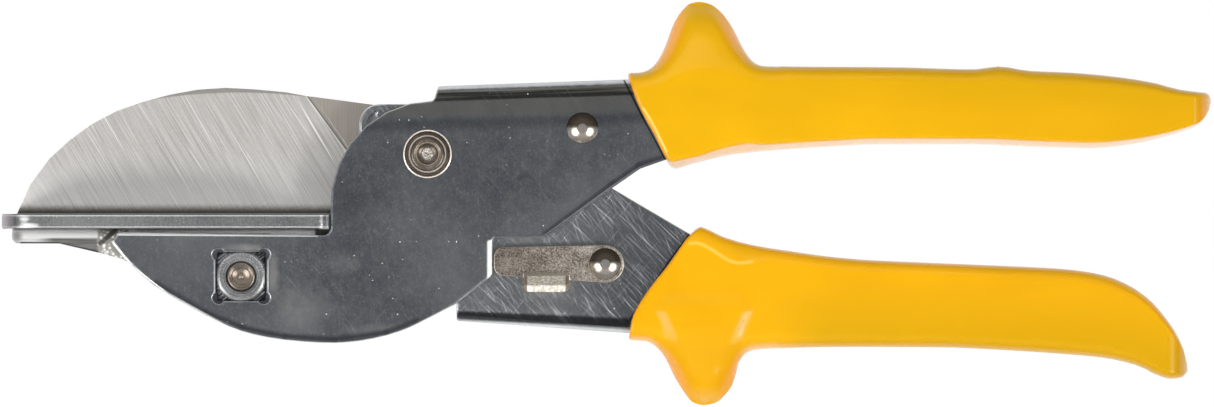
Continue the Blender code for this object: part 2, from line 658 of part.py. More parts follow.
def edge_grind(side):
    """Return the cutter of one ground face, a thin wedge that ends at a slanted line."""
    top = BLADE_EDGE_Z + BLADE_BEVEL_HEIGHT
    far = BLADE_HALF + CUT_RUN
    low = BLADE_EDGE_Z - CUT_RUN
    land = BLADE_HALF - BLADE_BEVEL - BLADE_BEVEL * CUT_RUN / BLADE_BEVEL_HEIGHT
    title = "front_grind" if side < 0 else "rear_grind"
    tool = prism(title, [(land, low), (BLADE_HALF, top), (far, top), (far, low)],
                 BLADE_TIP_X - CUT_RUN, GRIND_LOW_X + CUT_RUN)
    tool.data.transform(Matrix(((0.0, 1.0, 0.0, 0.0), (side, 0.0, 0.0, 0.0),
                                (0.0, 0.0, 1.0, 0.0), (0.0, 0.0, 0.0, 1.0))))
    if side > 0:
        tool.data.flip_normals()
    left = BLADE_TIP_X - 2 * CUT_RUN
    limit = [(left, low - CUT_RUN), (GRIND_LOW_X, low - CUT_RUN), (GRIND_LOW_X, BLADE_EDGE_Z),
             (GRIND_TOP_X, GRIND_TOP_Z), (GRIND_TOP_X, top + CUT_RUN), (left, top + CUT_RUN)]
    return combine(tool, "INTERSECT", prism(title + "_limit", limit, -far - CUT_RUN, far + CUT_RUN))


def blade(material):
    """Straight-edged blade with a round back, ground from both faces to its edge."""
    tang_right = (TANG_RIGHT_X, TANG_LOW_Z)
    outline = smooth_run(blade_back(), 2) + [(BLADE_BACK_END_X, BLADE_BACK_END_Z)]
    outline += corner(outline[-1], (TANG_RIGHT_X, TANG_TOP_Z), tang_right, TANG_CORNER)
    outline += corner((TANG_RIGHT_X, TANG_TOP_Z), tang_right, (TANG_HEEL_X, BLADE_EDGE_Z), TANG_CORNER)
    outline += [(TANG_HEEL_X, BLADE_EDGE_Z)]
    body = prism("blade", outline, -BLADE_HALF, BLADE_HALF, PARTS)
    for side in (-1.0, 1.0):
        cut(body, edge_grind(side))
    bush_radius = PIN_RADIUS + SEAT_GAP + BUSH_WALL
    cut(body, rod("blade_bush_way", bush_radius + SEAT_GAP, -CUT_RUN, CUT_RUN, 0.0, 0.0))
    cut(body, rod("blade_pin_hole", BLADE_PIN_RADIUS + SEAT_GAP, -CUT_RUN, CUT_RUN,
                  BLADE_PIN_X, BLADE_PIN_Z))
    return dress(body, material)


def blade_packing(title, side, material):
    """Plate between the blade and one wall of the lever."""
    lean = math.atan2(BLADE_PIN_Z, BLADE_PIN_X)
    apart = math.hypot(BLADE_PIN_X, BLADE_PIN_Z)
    spread = math.acos((PACKING_RADIUS - PACKING_PIN_RADIUS) / apart)
    outline = arc(0.0, 0.0, PACKING_RADIUS, lean + spread, lean + 2 * math.pi - spread)
    outline += arc(BLADE_PIN_X, BLADE_PIN_Z, PACKING_PIN_RADIUS, lean - spread, lean + spread)
    near = BLADE_HALF + SEAT_GAP
    far = LEVER_INSIDE - SEAT_GAP
    ends = (near, far) if side > 0 else (-far, -near)
    body = prism(title, outline, ends[0], ends[1], PARTS)
    bush_radius = PIN_RADIUS + SEAT_GAP + BUSH_WALL
    cut(body, rod(title + "_bush_way", bush_radius + SEAT_GAP, -LEVER_HALF, LEVER_HALF, 0.0, 0.0))
    cut(body, rod(title + "_pin_way", BLADE_PIN_RADIUS + SEAT_GAP, -LEVER_HALF, LEVER_HALF,
                  BLADE_PIN_X, BLADE_PIN_Z))
    return dress(body, material)


def blade_pin(material):
    """Second fixing of the blade, flush with the walls of the lever."""
    return dress(rod("blade_pin", BLADE_PIN_RADIUS, -LEVER_HALF, LEVER_HALF, BLADE_PIN_X, BLADE_PIN_Z,
                     PARTS), material)


def dome(front):
    """Return the profile of a domed rivet head with a small flat crown, from its crown down."""
    lean = math.acos(RIVET_CROWN / RIVET_HEAD)
    points = []
    for step in range(DOME_STEPS + 1):
        turn = lean * (1 - step / DOME_STEPS)
        points.append((RIVET_HEAD * math.cos(turn),
                       front + RIVET_RISE * (1 - math.sin(turn) / math.sin(lean))))
    return points


def spring_rivet(material):
    """Rivet through both cheeks of the upper handle, domed at both ends."""
    face = -FRAME_HALF - SEAT_GAP
    half = [(0.0, face - RIVET_RISE)] + dome(face - RIVET_RISE) + [(RIVET_SHANK, face)]
    profile = half + [(radius, -y) for radius, y in half[::-1]]
    return dress(turned("spring_rivet", profile, SPRING_RIVET_X, SPRING_RIVET_Z, RIVET_STEPS, PARTS),
                 material)


def spring_spool(material):
    """Sleeve on the spring rivet, between the cheeks of the frame."""
    half = FRAME_INSIDE - SEAT_GAP
    return dress(tube("spring_spool", RIVET_SHANK + SEAT_GAP, SPOOL_RADIUS, -half, half,
                      SPRING_RIVET_X, SPRING_RIVET_Z), material)


def lever_floor(x):
    """Return the height of the inner face of the lever's web at a place."""
    slope = (LEVER_MOUTH_LOW - LEVER_WEB_LOW) / (LEVER_MOUTH_X - LEVER_WEB_X)
    return LEVER_WEB_LOW + (x - LEVER_WEB_X) * slope + SHEET


def frame_ceiling(x):
    """Return the height of the inner face of the frame's web at a place."""
    slope = (WEB_MOUTH_Z - WEB_START_Z) / (WEB_MOUTH_X - WEB_START_X)
    return WEB_START_Z + (x - WEB_START_X) * slope - SHEET


def spring_points():
    """Return the wire's middle line: short leg, turns of the coil, long leg."""
    radius = SPOOL_RADIUS + SEAT_GAP + WIRE / 2
    top_x = SPRING_RIVET_X + radius * math.cos(COIL_START)
    foot = Vector((FOOT_X, lever_floor(FOOT_X) + SEAT_GAP + WIRE / 2))
    away = foot - Vector((SPRING_RIVET_X, SPRING_RIVET_Z))
    end = math.atan2(away.y, away.x) + math.acos(radius / away.length)
    sweep = COIL_START - end + COIL_TURNS * 2 * math.pi
    count = math.ceil(sweep / (2 * math.pi) * COIL_SIDES)
    toe_x = top_x - SHORT_LEG
    toe = (toe_x, -COIL_HALF_WIDTH, frame_ceiling(toe_x) - SEAT_GAP - WIRE / 2)
    points = [toe]
    for step in range(count + 1):
        share = step / count
        turn = COIL_START - sweep * share
        points.append((SPRING_RIVET_X + radius * math.cos(turn),
                       COIL_HALF_WIDTH * (2 * share - 1), SPRING_RIVET_Z + radius * math.sin(turn)))
    return points + [(foot.x, COIL_HALF_WIDTH, foot.y)]


def print_coil_gap(points):
    """Print the least gap between curls that lie a turn apart."""
    least = min((Vector(a) - Vector(b)).length for i, a in enumerate(points[1:-1])
                for b in points[1 + i + COIL_SIDES // 2:-1])
    print(f"return_spring least self gap {(least - WIRE) / MM:.2f} mm")


def return_spring(material):
    """Torsion spring as one unbroken wire, pressing the two webs apart."""
    points = spring_points()
    print_coil_gap(points)
    curve = bpy.data.curves.new("return_spring", "CURVE")
    curve.dimensions = "3D"
    curve.bevel_depth = WIRE / 2
    curve.bevel_resolution = 1
    curve.use_fill_caps = True
    spline = curve.splines.new("POLY")
    spline.points.add(len(points) - 1)
    for point, place in zip(spline.points, points):
        point.co = (*place, 1.0)
    obj = bpy.data.objects.new("return_spring", curve)
    bpy.context.scene.collection.objects.link(obj)
    bpy.context.view_layer.update()
    return dress(keep(settled_mesh(obj), PARTS), material)


def catch_outline():
    """Return the outline of the safety catch, its tip at the left, its round end on the rivet."""
    top = CATCH_RIVET_Z + CATCH_ROUND
    low = CATCH_RIVET_Z - CATCH_ROUND
    tip_top = (CATCH_TIP_X, CATCH_TIP_TOP)
    tip_low = (CATCH_TIP_X, CATCH_TIP_LOW)
    outline = arc(CATCH_RIVET_X, CATCH_RIVET_Z, CATCH_ROUND, -math.pi / 2, math.pi / 2)
    outline += corner((CATCH_RIVET_X, top), tip_top, tip_low, CATCH_CORNER)
    return outline + corner(tip_top, tip_low, (CATCH_RIVET_X, low), CATCH_CORNER)


def safety_catch(material):
    """Pressed plate on the lever with a thumb tab bent outwards."""
    back = -LEVER_HALF - SEAT_GAP
    front = back - SHEET
    body = prism("safety_catch", catch_outline(), front, back, PARTS)
    share = (TAB_X + TAB_WIDTH / 2 - CATCH_TIP_X) / (CATCH_RIVET_X - CATCH_TIP_X)
    edge = CATCH_TIP_LOW + (CATCH_RIVET_Z - CATCH_ROUND - CATCH_TIP_LOW) * share
    corners = [(TAB_X, 0.0), (TAB_X + TAB_WIDTH, 0.0), (TAB_X + TAB_WIDTH, TAB_REACH), (TAB_X, TAB_REACH)]
    outline = corners[:2] + corner(corners[1], corners[2], corners[3], TAB_CORNER)
    outline += corner(corners[2], corners[3], corners[0], TAB_CORNER)
    tab = plan_prism("thumb_tab", outline, -SHEET, 0.0)
    tab.data.transform(Matrix.Translation((0.0, back - SHEET / 2, edge + TAB_ROOT))
                       @ Matrix.Rotation(math.pi + TAB_LEAN, 4, "X"))
    combine(body, "UNION", tab)
    cut(body, rod("catch_bore", RIVET_SHANK + SEAT_GAP, front - CUT_RUN, back + CUT_RUN,
                  CATCH_RIVET_X, CATCH_RIVET_Z))
    return dress(body, material)


def catch_rivet(material):
    """Domed rivet that holds the catch, spread inside the wall of the lever."""
    face = -LEVER_HALF - SEAT_GAP - SHEET - SEAT_GAP
    inner = -LEVER_INSIDE + SEAT_GAP
    profile = [(0.0, face - RIVET_RISE)] + dome(face - RIVET_RISE)
    profile += [(RIVET_SHANK, face), (RIVET_SHANK, inner), (RIVET_TAIL, inner),
                (RIVET_TAIL, inner + RIVET_TAIL_THICK), (0.0, inner + RIVET_TAIL_THICK)]
    return dress(turned("catch_rivet", profile, CATCH_RIVET_X, CATCH_RIVET_Z, RIVET_STEPS, PARTS),
                 material)


def table_outline():
    """Return the plan of the anvil table, wide at both ends, rounder at its left."""
    corners = [(TABLE_LEFT_X, -TABLE_HALF), (TABLE_RIGHT_X, -TABLE_HALF),
               (TABLE_RIGHT_X, TABLE_HALF), (TABLE_LEFT_X, TABLE_HALF)]
    radii = (TABLE_CORNER, TABLE_RIGHT_CORNER, TABLE_RIGHT_CORNER, TABLE_CORNER)
    outline = []
    for i, radius in enumerate(radii):
        outline += corner(corners[i - 1], corners[i], corners[(i + 1) % 4], radius)
    return outline


def rectangle(x_from, x_to, y_half):
    """Return a rectangle in plan."""
    return [(x_from, -y_half), (x_to, -y_half), (x_to, y_half), (x_from, y_half)]


def upright_rod(title, radius, z_from, z_to, x, home=CUTTERS):
    """Make a round rod along Z on the middle plane."""
    obj = rod(title, radius, -z_to, -z_from, 0.0, 0.0, home)
    obj.data.transform(Matrix.Translation((x, 0.0, 0.0)) @ Matrix.Rotation(-math.pi / 2, 4, "X"))
    return obj


def anvil_table(material):
    """Flat table with a groove for the insert and two tapped holes from below."""
    bottom = TABLE_TOP - TABLE_THICK
    body = plan_prism("anvil_table", table_outline(), bottom, TABLE_TOP, PARTS)
    groove = rectangle(TABLE_LEFT_X - CUT_RUN, TABLE_RIGHT_X + CUT_RUN, INSERT_HALF + SEAT_GAP)
    cut(body, plan_prism("insert_groove", groove, TABLE_TOP - INSERT_THICK - SEAT_GAP, TABLE_TOP + CUT_RUN))
    for title, x in (("left_tapping", SCREW_LEFT_X), ("right_tapping", SCREW_RIGHT_X)):
        cut(body, upright_rod(title, SCREW_RADIUS + SEAT_GAP, bottom - CUT_RUN,
                              bottom + SCREW_BITE + SEAT_GAP, x))
    return dress(body, material)


def anvil_insert(material):
    """Strip that the edge closes on, in the groove of the table."""
    outline = rectangle(TABLE_LEFT_X + INSERT_MARGIN, TABLE_RIGHT_X, INSERT_HALF)
    body = plan_prism("anvil_insert", outline, TABLE_TOP - INSERT_THICK, TABLE_TOP, PARTS)
    return dress(body, material)


def carrier_top():
    """Return the height of the carrier's web, just below the table."""
    return TABLE_TOP - TABLE_THICK - SEAT_GAP


def carrier_outline():
    """Return the side of the anvil carrier, thin at its nose, deep inside the jaw."""
    top = carrier_top()
    length = CARRIER_RIGHT_X - CARRIER_LEFT_X
    low = scaled(CARRIER_LOW_SHARES, CARRIER_LEFT_X, top - CARRIER_NOSE_HEIGHT, length,
                 CARRIER_DEPTH - CARRIER_NOSE_HEIGHT)
    nose_low = (CARRIER_LEFT_X, top - CARRIER_NOSE_HEIGHT)
    tail_top = top - CARRIER_DEPTH * CARRIER_TAIL_SHARE
    outline = [(CARRIER_LEFT_X, top)] + corner((CARRIER_LEFT_X, top), nose_low, low[0],
                                               CARRIER_NOSE_HEIGHT / 2)
    outline += low + [(CARRIER_TAIL_X, top - CARRIER_DEPTH), (CARRIER_TAIL_X, tail_top)]
    return outline + [(CARRIER_RIGHT_X, top)]


def anvil_carrier(material):
    """Folded bracket: its web carries the table, its walls stand between the jaw plates."""
    top = carrier_top()
    path = [(CARRIER_LEFT_X - CUT_RUN, top), (CARRIER_TAIL_X + CUT_RUN, top)]
    body = folded_sheet("anvil_carrier", carrier_outline(), CARRIER_HALF, path, CARRIER_FOLD,
                        -(CARRIER_DEPTH + CUT_RUN))
    window = pocket_outline(SHEET + WINDOW_MARGIN)
    cut(body, prism("pocket_window", window, -FRAME_HALF, 0.0))
    cut(body, rod("carrier_bolt_way", BOLT_RADIUS + SEAT_GAP, 0.0, FRAME_HALF, BOLT_X, BOLT_Z))
    for title, x in (("left_clearance", SCREW_LEFT_X), ("right_clearance", SCREW_RIGHT_X)):
        cut(body, upright_rod(title, SCREW_RADIUS + SEAT_GAP, top - SHEET - SEAT_GAP, top + SEAT_GAP, x))
    return dress(body, material)


def table_screw(title, x, material):
    """Screw from below that holds the table on the carrier."""
    under = carrier_top() - SHEET - SEAT_GAP
    end = TABLE_TOP - TABLE_THICK + SCREW_BITE
    body = upright_rod(title, SCREW_RADIUS, under - SCREW_HEAD_HEIGHT / 2, end, x, PARTS)
    combine(body, "UNION", upright_rod(title + "_head", SCREW_HEAD_RADIUS, under - SCREW_HEAD_HEIGHT,
                                       under, x))
    return dress(body, material)


def pocket_floor():
    """Return the depth of the outer face of the pocket's floor."""
    return -FRAME_HALF + POCKET_DEPTH


def carrier_nut(material):
    """Square nut in the pocket, flush with the jaw plate."""
    back = pocket_floor() - SEAT_GAP
    return nut("carrier_nut", 4, SQUARE_FLATS, BOLT_RADIUS + SEAT_GAP, -FRAME_HALF, back,
               BOLT_X, BOLT_Z, material)


def carrier_washer(material):
    """Washer under the head of the carrier bolt."""
    y = FRAME_HALF + SEAT_GAP
    return dress(tube("carrier_washer", BOLT_RADIUS + SEAT_GAP, BOLT_WASHER_RADIUS, y,
                      y + BOLT_WASHER_THICK, BOLT_X, BOLT_Z), material)


def carrier_bolt(material):
    """Socket-head bolt from the back, its dished end flush with the square nut."""
    front = -FRAME_HALF
    under = FRAME_HALF + SEAT_GAP + BOLT_WASHER_THICK + SEAT_GAP
    end = under + BOLT_HEAD_HEIGHT
    profile = [(0.0, front + BOLT_DISH), (BOLT_RADIUS / 2, front + BOLT_DISH),
               (BOLT_RADIUS - BOLT_DISH, front), (BOLT_RADIUS, front + BOLT_DISH),
               (BOLT_RADIUS, under), (BOLT_HEAD_RADIUS, under), (BOLT_HEAD_RADIUS, end - BOLT_DISH),
               (BOLT_HEAD_RADIUS - BOLT_DISH, end), (0.0, end)]
    body = turned("carrier_bolt", profile, BOLT_X, BOLT_Z, home=PARTS)
    cut(body, prism("bolt_socket", polygon(6, SOCKET_FLATS, BOLT_X, BOLT_Z), end - SOCKET_DEPTH,
                    end + CUT_RUN))
    return dress(body, material)


def carrier_spacer(material):
    """Tube on the bolt between the pocket and the rear wall of the carrier."""
    bore = BOLT_RADIUS + SEAT_GAP
    return dress(tube("carrier_spacer", bore, bore + SPACER_WALL, pocket_floor() + SHEET + SEAT_GAP,
                      CARRIER_INSIDE - SEAT_GAP, BOLT_X, BOLT_Z), material)


def height_at(run, x):
    """Return the height of a run of points at a place along X."""
    for (x_from, z_from), (x_to, z_to) in zip(run, run[1:]):
        if x_from <= x <= x_to and x_to > x_from:
            return z_from + (z_to - z_from) * (x - x_from) / (x_to - x_from)
    return run[-1][1] if x > run[-1][0] else run[0][1]


def grip_stations(length):
    """Return the places of a grip's rings, close together at its horn and at its tail."""
    places = []
    along = 0.0
    while along < length:
        places.append(along)
        near_end = along < GRIP_FINE_SHARE * length or along > GRIP_TAIL_SHARE * length
        along += GRIP_FINE_STEP if near_end else GRIP_LONG_STEP
    return places + [length]


def grip_ring(top, low, half_width, horn_base, horn_side):
    """Return one ring of a grip: a rounded box whose horn side is thinner past the horn's base."""
    edge = top if horn_side > 0 else low
    past = max(0.0, horn_side * (edge - horn_base))
    thin = 1 - HORN_THIN_SHARE * min(1.0, past / HORN_THIN_RUN)
    upper = half_width * (thin if horn_side > 0 else 1.0)
    lower = half_width * (thin if horn_side < 0 else 1.0)
    radius = min(GRIP_CORNER, CORNER_FIT_SHARE * half_width * thin, CORNER_FIT_SHARE * (top - low) / 2)
    waist = min(max(horn_base, low + radius), top - radius)
    ring = []
    for quarter, (y, z) in enumerate(((upper - radius, top - radius), (radius - upper, top - radius),
                                      (radius - lower, low + radius), (lower - radius, low + radius))):
        start = quarter * math.pi / 2
        ring += arc(y, z, radius, start, start + math.pi / 2)[::2]
        if quarter == 1:
            ring.append((-half_width, waist))
        if quarter == 3:
            ring.append((half_width, waist))
    return ring


def grip_body(title, from_x, length, top, low, half_width, horn_base, horn_side):
    """Loft a grip through rings that follow its two edges and round off at its tail."""
    work = bmesh.new()
    rings = []
    for along in grip_stations(length):
        x = from_x + along
        left = max(0.0, 1 - (length - along) / GRIP_TAIL_ROUND)
        width = half_width * max(GRIP_TAIL_FLOOR_SHARE, math.sqrt(1 - left ** 2))
        edge = (height_at(top, x), height_at(low, x))
        base = horn_base if along < GRIP_FINE_SHARE * length else edge[0 if horn_side > 0 else 1]
        ring = grip_ring(edge[0], edge[1], width, base, horn_side)
        rings.append([work.verts.new((x, y, z)) for y, z in ring])
    sides = len(rings[0])
    for near, far in zip(rings, rings[1:]):
        for k in range(sides):
            after = (k + 1) % sides
            work.faces.new((near[k], near[after], far[after], far[k]))
    work.faces.new(rings[0])
    work.faces.new(rings[-1])
    bmesh.ops.recalc_face_normals(work, faces=work.faces)
    mesh = bpy.data.meshes.new(title)
    work.to_mesh(mesh)
    work.free()
    obj = bpy.data.objects.new(title, mesh)
    bpy.context.scene.collection.objects.link(obj)
    return keep(obj, PARTS)


def widened(outline, margin):
    """Return an outline moved outwards by a margin all round."""
    area = sum(a[0] * b[1] - b[0] * a[1] for a, b in zip(outline, outline[1:] + outline[:1]))
    side = 1.0 if area > 0 else -1.0
    grown = []
    for i, at in enumerate(outline):
        spot = Vector(at)
        before = (spot - Vector(outline[i - 1])).normalized()
        after = (Vector(outline[(i + 1) % len(outline)]) - spot).normalized()
        out = (Vector((before.y, -before.x)) + Vector((after.y, -after.x))) * side
        grown.append(tuple(spot + out * margin / max(MITRE_LIMIT_SHARE, 1 + before.dot(after))))
    return grown


def grip_pocket(title, outline, half_width, path, fold, depth):
    """Make the room that a handle's steel fills inside its grip."""
    room = prism(title, widened(outline, SEAT_GAP), -half_width - CUT_RUN, half_width + CUT_RUN)
    lift = -SEAT_GAP if depth > 0 else SEAT_GAP
    skin_path = [(x, z + lift) for x, z in path]
    skin = folded_bar(title + "_skin", half_width + SEAT_GAP, skin_path, fold, depth)
    combine(room, "INTERSECT", skin)
    bpy.context.view_layer.update()
    return keep(settled_mesh(room), CUTTERS)


def upper_grip(material):
    """Dipped grip with a guard horn on top, over the upper handle."""
    sizes = (UPPER_GRIP_X, UPPER_GRIP_Z, UPPER_GRIP_LENGTH, UPPER_GRIP_HEIGHT)
    top = smooth_run(scaled(UPPER_TOP_SHARES, *sizes))
    low = smooth_run(scaled(UPPER_LOW_SHARES, *sizes))
    base = UPPER_GRIP_Z + UPPER_HORN_BASE_SHARE * UPPER_GRIP_HEIGHT
    grip = grip_body("upper_grip", UPPER_GRIP_X, UPPER_GRIP_LENGTH, top, low,
                     FRAME_HALF + GRIP_WALL, base, 1.0)
    mouth = smooth_run(scaled(UPPER_MOUTH_SHARES, *sizes))
    left = UPPER_GRIP_X - CUT_RUN
    mouth = [(left, mouth[0][1])] + mouth + [(left, mouth[-1][1])]
    cut(grip, prism("upper_mouth", mouth, -FRAME_HALF - CUT_RUN, FRAME_HALF + CUT_RUN))
    outline = [(WEB_START_X, WEB_START_Z), (WEB_MOUTH_X, WEB_MOUTH_Z)] + frame_tang_top()
    outline += frame_tang_low()
    path = [(WEB_START_X, WEB_START_Z), (WEB_MOUTH_X, WEB_MOUTH_Z)] + frame_tang_top()
    path[-1] = (path[-1][0] + CUT_RUN, path[-1][1])
    cut(grip, grip_pocket("upper_handle_room", outline, FRAME_HALF, path, FOLD_RADIUS,
                          -(WEB_START_Z + BELLY_DEPTH)))
    return dress(grip, material, GRIP_CREASE)


def lower_grip(material):
    """Dipped grip with a guard horn below and a hooked tail, over the lower handle."""
    sizes = (LOWER_GRIP_X, LOWER_GRIP_Z, LOWER_GRIP_LENGTH, LOWER_GRIP_HEIGHT)
    top = smooth_run(scaled(LOWER_TOP_SHARES, *sizes))
    low = smooth_run(scaled(LOWER_LOW_SHARES, *sizes))
    base = LOWER_GRIP_Z + LOWER_HORN_BASE_SHARE * LOWER_GRIP_HEIGHT
    grip = grip_body("lower_grip", LOWER_GRIP_X, LOWER_GRIP_LENGTH, top, low,
                     LEVER_HALF + GRIP_WALL, base, -1.0)
    mouth = smooth_run(scaled(LOWER_MOUTH_SHARES, *sizes))
    left = LOWER_GRIP_X - CUT_RUN
    mouth = [(left, mouth[0][1])] + mouth + [(left, mouth[-1][1])]
    cut(grip, prism("lower_mouth", mouth, -LEVER_HALF - CUT_RUN, LEVER_HALF + CUT_RUN))
    outline = [(LEVER_EDGE_X, LEVER_EDGE_Z)] + lever_tang_top()[::-1] + lever_tang_low()[::-1]
    outline += [(LEVER_MOUTH_X, LEVER_MOUTH_LOW), (LEVER_WEB_X, LEVER_WEB_LOW)]
    path = [(LEVER_WEB_X, LEVER_WEB_LOW), (LEVER_MOUTH_X, LEVER_MOUTH_LOW)] + lever_tang_low()
    path[-1] = (path[-1][0] + CUT_RUN, path[-1][1])
    cut(grip, grip_pocket("lower_handle_room", outline, LEVER_HALF, path, LEVER_FOLD,
                          NOSE_TOP - LEVER_WEB_LOW))
    return dress(grip, material, GRIP_CREASE)


def hold(title, x, z, objects):
    """Parent objects to an empty that stands on a joint's axis."""
    anchor = bpy.data.objects.new(title, None)
    anchor.location = (x, 0.0, z)
    anchor.empty_display_size = PIN_RADIUS
    bpy.data.collections[PARTS].objects.link(anchor)
    bpy.context.view_layer.update()
    for obj in objects:
        obj.parent = anchor
        obj.matrix_parent_inverse = anchor.matrix_world.inverted()
    return anchor


def centre_on_box(anchors):
    """Move the whole model so that the middle of its box is at the origin."""
    bpy.context.view_layer.update()
    view = bpy.context.evaluated_depsgraph_get()
    low = Vector([math.inf] * 3)
    high = -low
    for obj in bpy.data.collections[PARTS].objects:
        if obj.type == "MESH":
            shown = obj.evaluated_get(view)
            for vertex in shown.data.vertices:
                place = shown.matrix_world @ vertex.co
                low = Vector(map(min, low, place))
                high = Vector(map(max, high, place))
    middle = (low + high) / 2
    cutters = hold("cutter_home", 0.0, 0.0, bpy.data.collections[CUTTERS].objects)
    for anchor in anchors + [cutters]:
        anchor.location -= middle
    bpy.context.view_layer.update()
    print("size mm", [round(v / MM, 3) for v in high - low])
    print("pivot m", [round(v, 6) for v in anchors[0].location])
    print("catch pivot m", [round(v, 6) for v in anchors[-1].matrix_world.translation])


def main():
    """Build every piece, hang it on its body's empty and centre the model."""
    clear_scene()
    plate = finish("zinc_plate", (0.30, 0.31, 0.33), 0.32, 1.0)
    ground = finish("ground_steel", (0.55, 0.54, 0.52), 0.35, 1.0)
    nickel = finish("nickel", (0.48, 0.43, 0.38), 0.30, 1.0)
    cast = finish("table_alloy", (0.36, 0.36, 0.36), 0.45, 1.0)
    yellow = finish("yellow_dip", (0.90, 0.48, 0.02), 0.30, 0.0)
    strip = finish("insert_plastic", (0.75, 0.73, 0.68), 0.50, 0.0)
    spring = finish("spring_steel", (0.25, 0.25, 0.26), 0.35, 1.0)
    frame = [
        main_frame(plate), upper_grip(yellow), pivot_pin(nickel), pivot_washer(plate),
        pivot_nut(plate), spring_rivet(nickel), spring_spool(plate), return_spring(spring),
        anvil_carrier(plate), anvil_table(cast), anvil_insert(strip),
        table_screw("table_screw_left", SCREW_LEFT_X, plate),
        table_screw("table_screw_right", SCREW_RIGHT_X, plate),
        carrier_bolt(nickel), carrier_nut(nickel), carrier_washer(plate), carrier_spacer(plate),
    ]
    lever = [
        handle_lever(plate), lower_grip(yellow), blade(ground),
        blade_packing("blade_packing_front", -1.0, plate),
        blade_packing("blade_packing_rear", 1.0, plate),
        blade_pin(plate), pivot_bush(plate), catch_rivet(nickel),
    ]
    frame_anchor = hold("frame_pivot", 0.0, 0.0, frame)
    lever_anchor = hold("lever_pivot", 0.0, 0.0, lever)
    catch_anchor = hold("catch_pivot", CATCH_RIVET_X, CATCH_RIVET_Z, [safety_catch(nickel)])
    centre_on_box([frame_anchor, lever_anchor, catch_anchor])


main()
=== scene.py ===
"""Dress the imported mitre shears: finer grips, turned fasteners, real edges and procedural metals.

Sizes are in millimetres. Outlines and spots count from the pivot, as on a workshop drawing, with X
towards the grips and Z up; SubAssembly.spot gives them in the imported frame's metres. A finish works
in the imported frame's millimetres, and Finish.at gives a drawing spot in those.
"""
from __future__ import annotations

import json
import logging
import math
from collections.abc import Callable, Sequence
from dataclasses import dataclass, field
from enum import Enum

import bmesh
import bpy
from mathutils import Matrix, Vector

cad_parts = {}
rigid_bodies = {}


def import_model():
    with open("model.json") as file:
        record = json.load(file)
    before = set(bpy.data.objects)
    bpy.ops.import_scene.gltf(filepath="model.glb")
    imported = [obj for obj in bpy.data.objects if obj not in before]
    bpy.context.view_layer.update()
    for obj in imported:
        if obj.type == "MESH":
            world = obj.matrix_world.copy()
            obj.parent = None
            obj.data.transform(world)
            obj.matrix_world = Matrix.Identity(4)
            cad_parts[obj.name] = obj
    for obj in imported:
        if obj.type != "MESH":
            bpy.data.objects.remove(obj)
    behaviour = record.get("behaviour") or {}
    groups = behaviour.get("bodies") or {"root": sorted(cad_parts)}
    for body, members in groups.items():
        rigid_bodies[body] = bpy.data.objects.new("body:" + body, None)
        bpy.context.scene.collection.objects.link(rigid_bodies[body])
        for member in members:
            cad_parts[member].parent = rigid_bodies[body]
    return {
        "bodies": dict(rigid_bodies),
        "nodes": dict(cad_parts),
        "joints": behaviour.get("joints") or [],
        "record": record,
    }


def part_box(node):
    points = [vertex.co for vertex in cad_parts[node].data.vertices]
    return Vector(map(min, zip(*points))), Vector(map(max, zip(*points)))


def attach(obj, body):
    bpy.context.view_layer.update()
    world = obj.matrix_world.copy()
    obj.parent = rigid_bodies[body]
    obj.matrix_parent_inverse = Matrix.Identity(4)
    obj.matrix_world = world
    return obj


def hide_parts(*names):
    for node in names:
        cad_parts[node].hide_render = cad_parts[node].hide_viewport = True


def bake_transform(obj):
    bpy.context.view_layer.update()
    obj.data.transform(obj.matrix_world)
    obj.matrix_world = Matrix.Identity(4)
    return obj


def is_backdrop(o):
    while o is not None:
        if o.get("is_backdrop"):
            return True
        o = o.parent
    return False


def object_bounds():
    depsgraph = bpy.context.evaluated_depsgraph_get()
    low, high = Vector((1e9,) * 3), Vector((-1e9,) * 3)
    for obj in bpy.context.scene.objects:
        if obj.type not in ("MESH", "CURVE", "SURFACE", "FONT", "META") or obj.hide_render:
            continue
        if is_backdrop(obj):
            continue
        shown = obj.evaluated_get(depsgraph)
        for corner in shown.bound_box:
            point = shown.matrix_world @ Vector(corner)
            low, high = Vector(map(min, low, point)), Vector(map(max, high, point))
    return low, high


LOG = logging.getLogger("mitre_shears")
MM = 0.001
FLOOR_DROP = 70.0
SKIN = 0.01
WELD = 0.002
FLAT_ANGLE = math.radians(0.8)
FINE_SIDES = 96
PIVOT_SPOT = (0.0, 0.0)
BOLT_SPOT = (-38.5, -25.3)
SPRING_RIVET_SPOT = (32.0, 5.3)
CATCH_RIVET_SPOT = (36.7, -22.7)
LEFT_STAND = (-0.82, -0.80, -0.40)
RIGHT_STAND = (0.82, -0.80, -0.40)

Point = tuple[float, float]
Tint = tuple[float, float, float]
Stroke = tuple[Sequence[Point], float, float, float]
Sides = tuple[float, float, float, float]
Rule = Callable[[Vector], bool]
Piece = bpy.types.Object
Material = bpy.types.Material


class Body(Enum):
    """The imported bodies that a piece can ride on."""

    FRAME = "frame"
    LEVER = "lever"
    CATCH = "catch"


class Slot(Enum):
    """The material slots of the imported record."""

    ZINC = "zinc_plate"
    GROUND = "ground_steel"
    NICKEL = "nickel"
    TABLE = "table_alloy"
    VINYL = "yellow_dip"
    STRIP = "insert_plastic"
    WIRE = "spring_steel"


# Shader maths


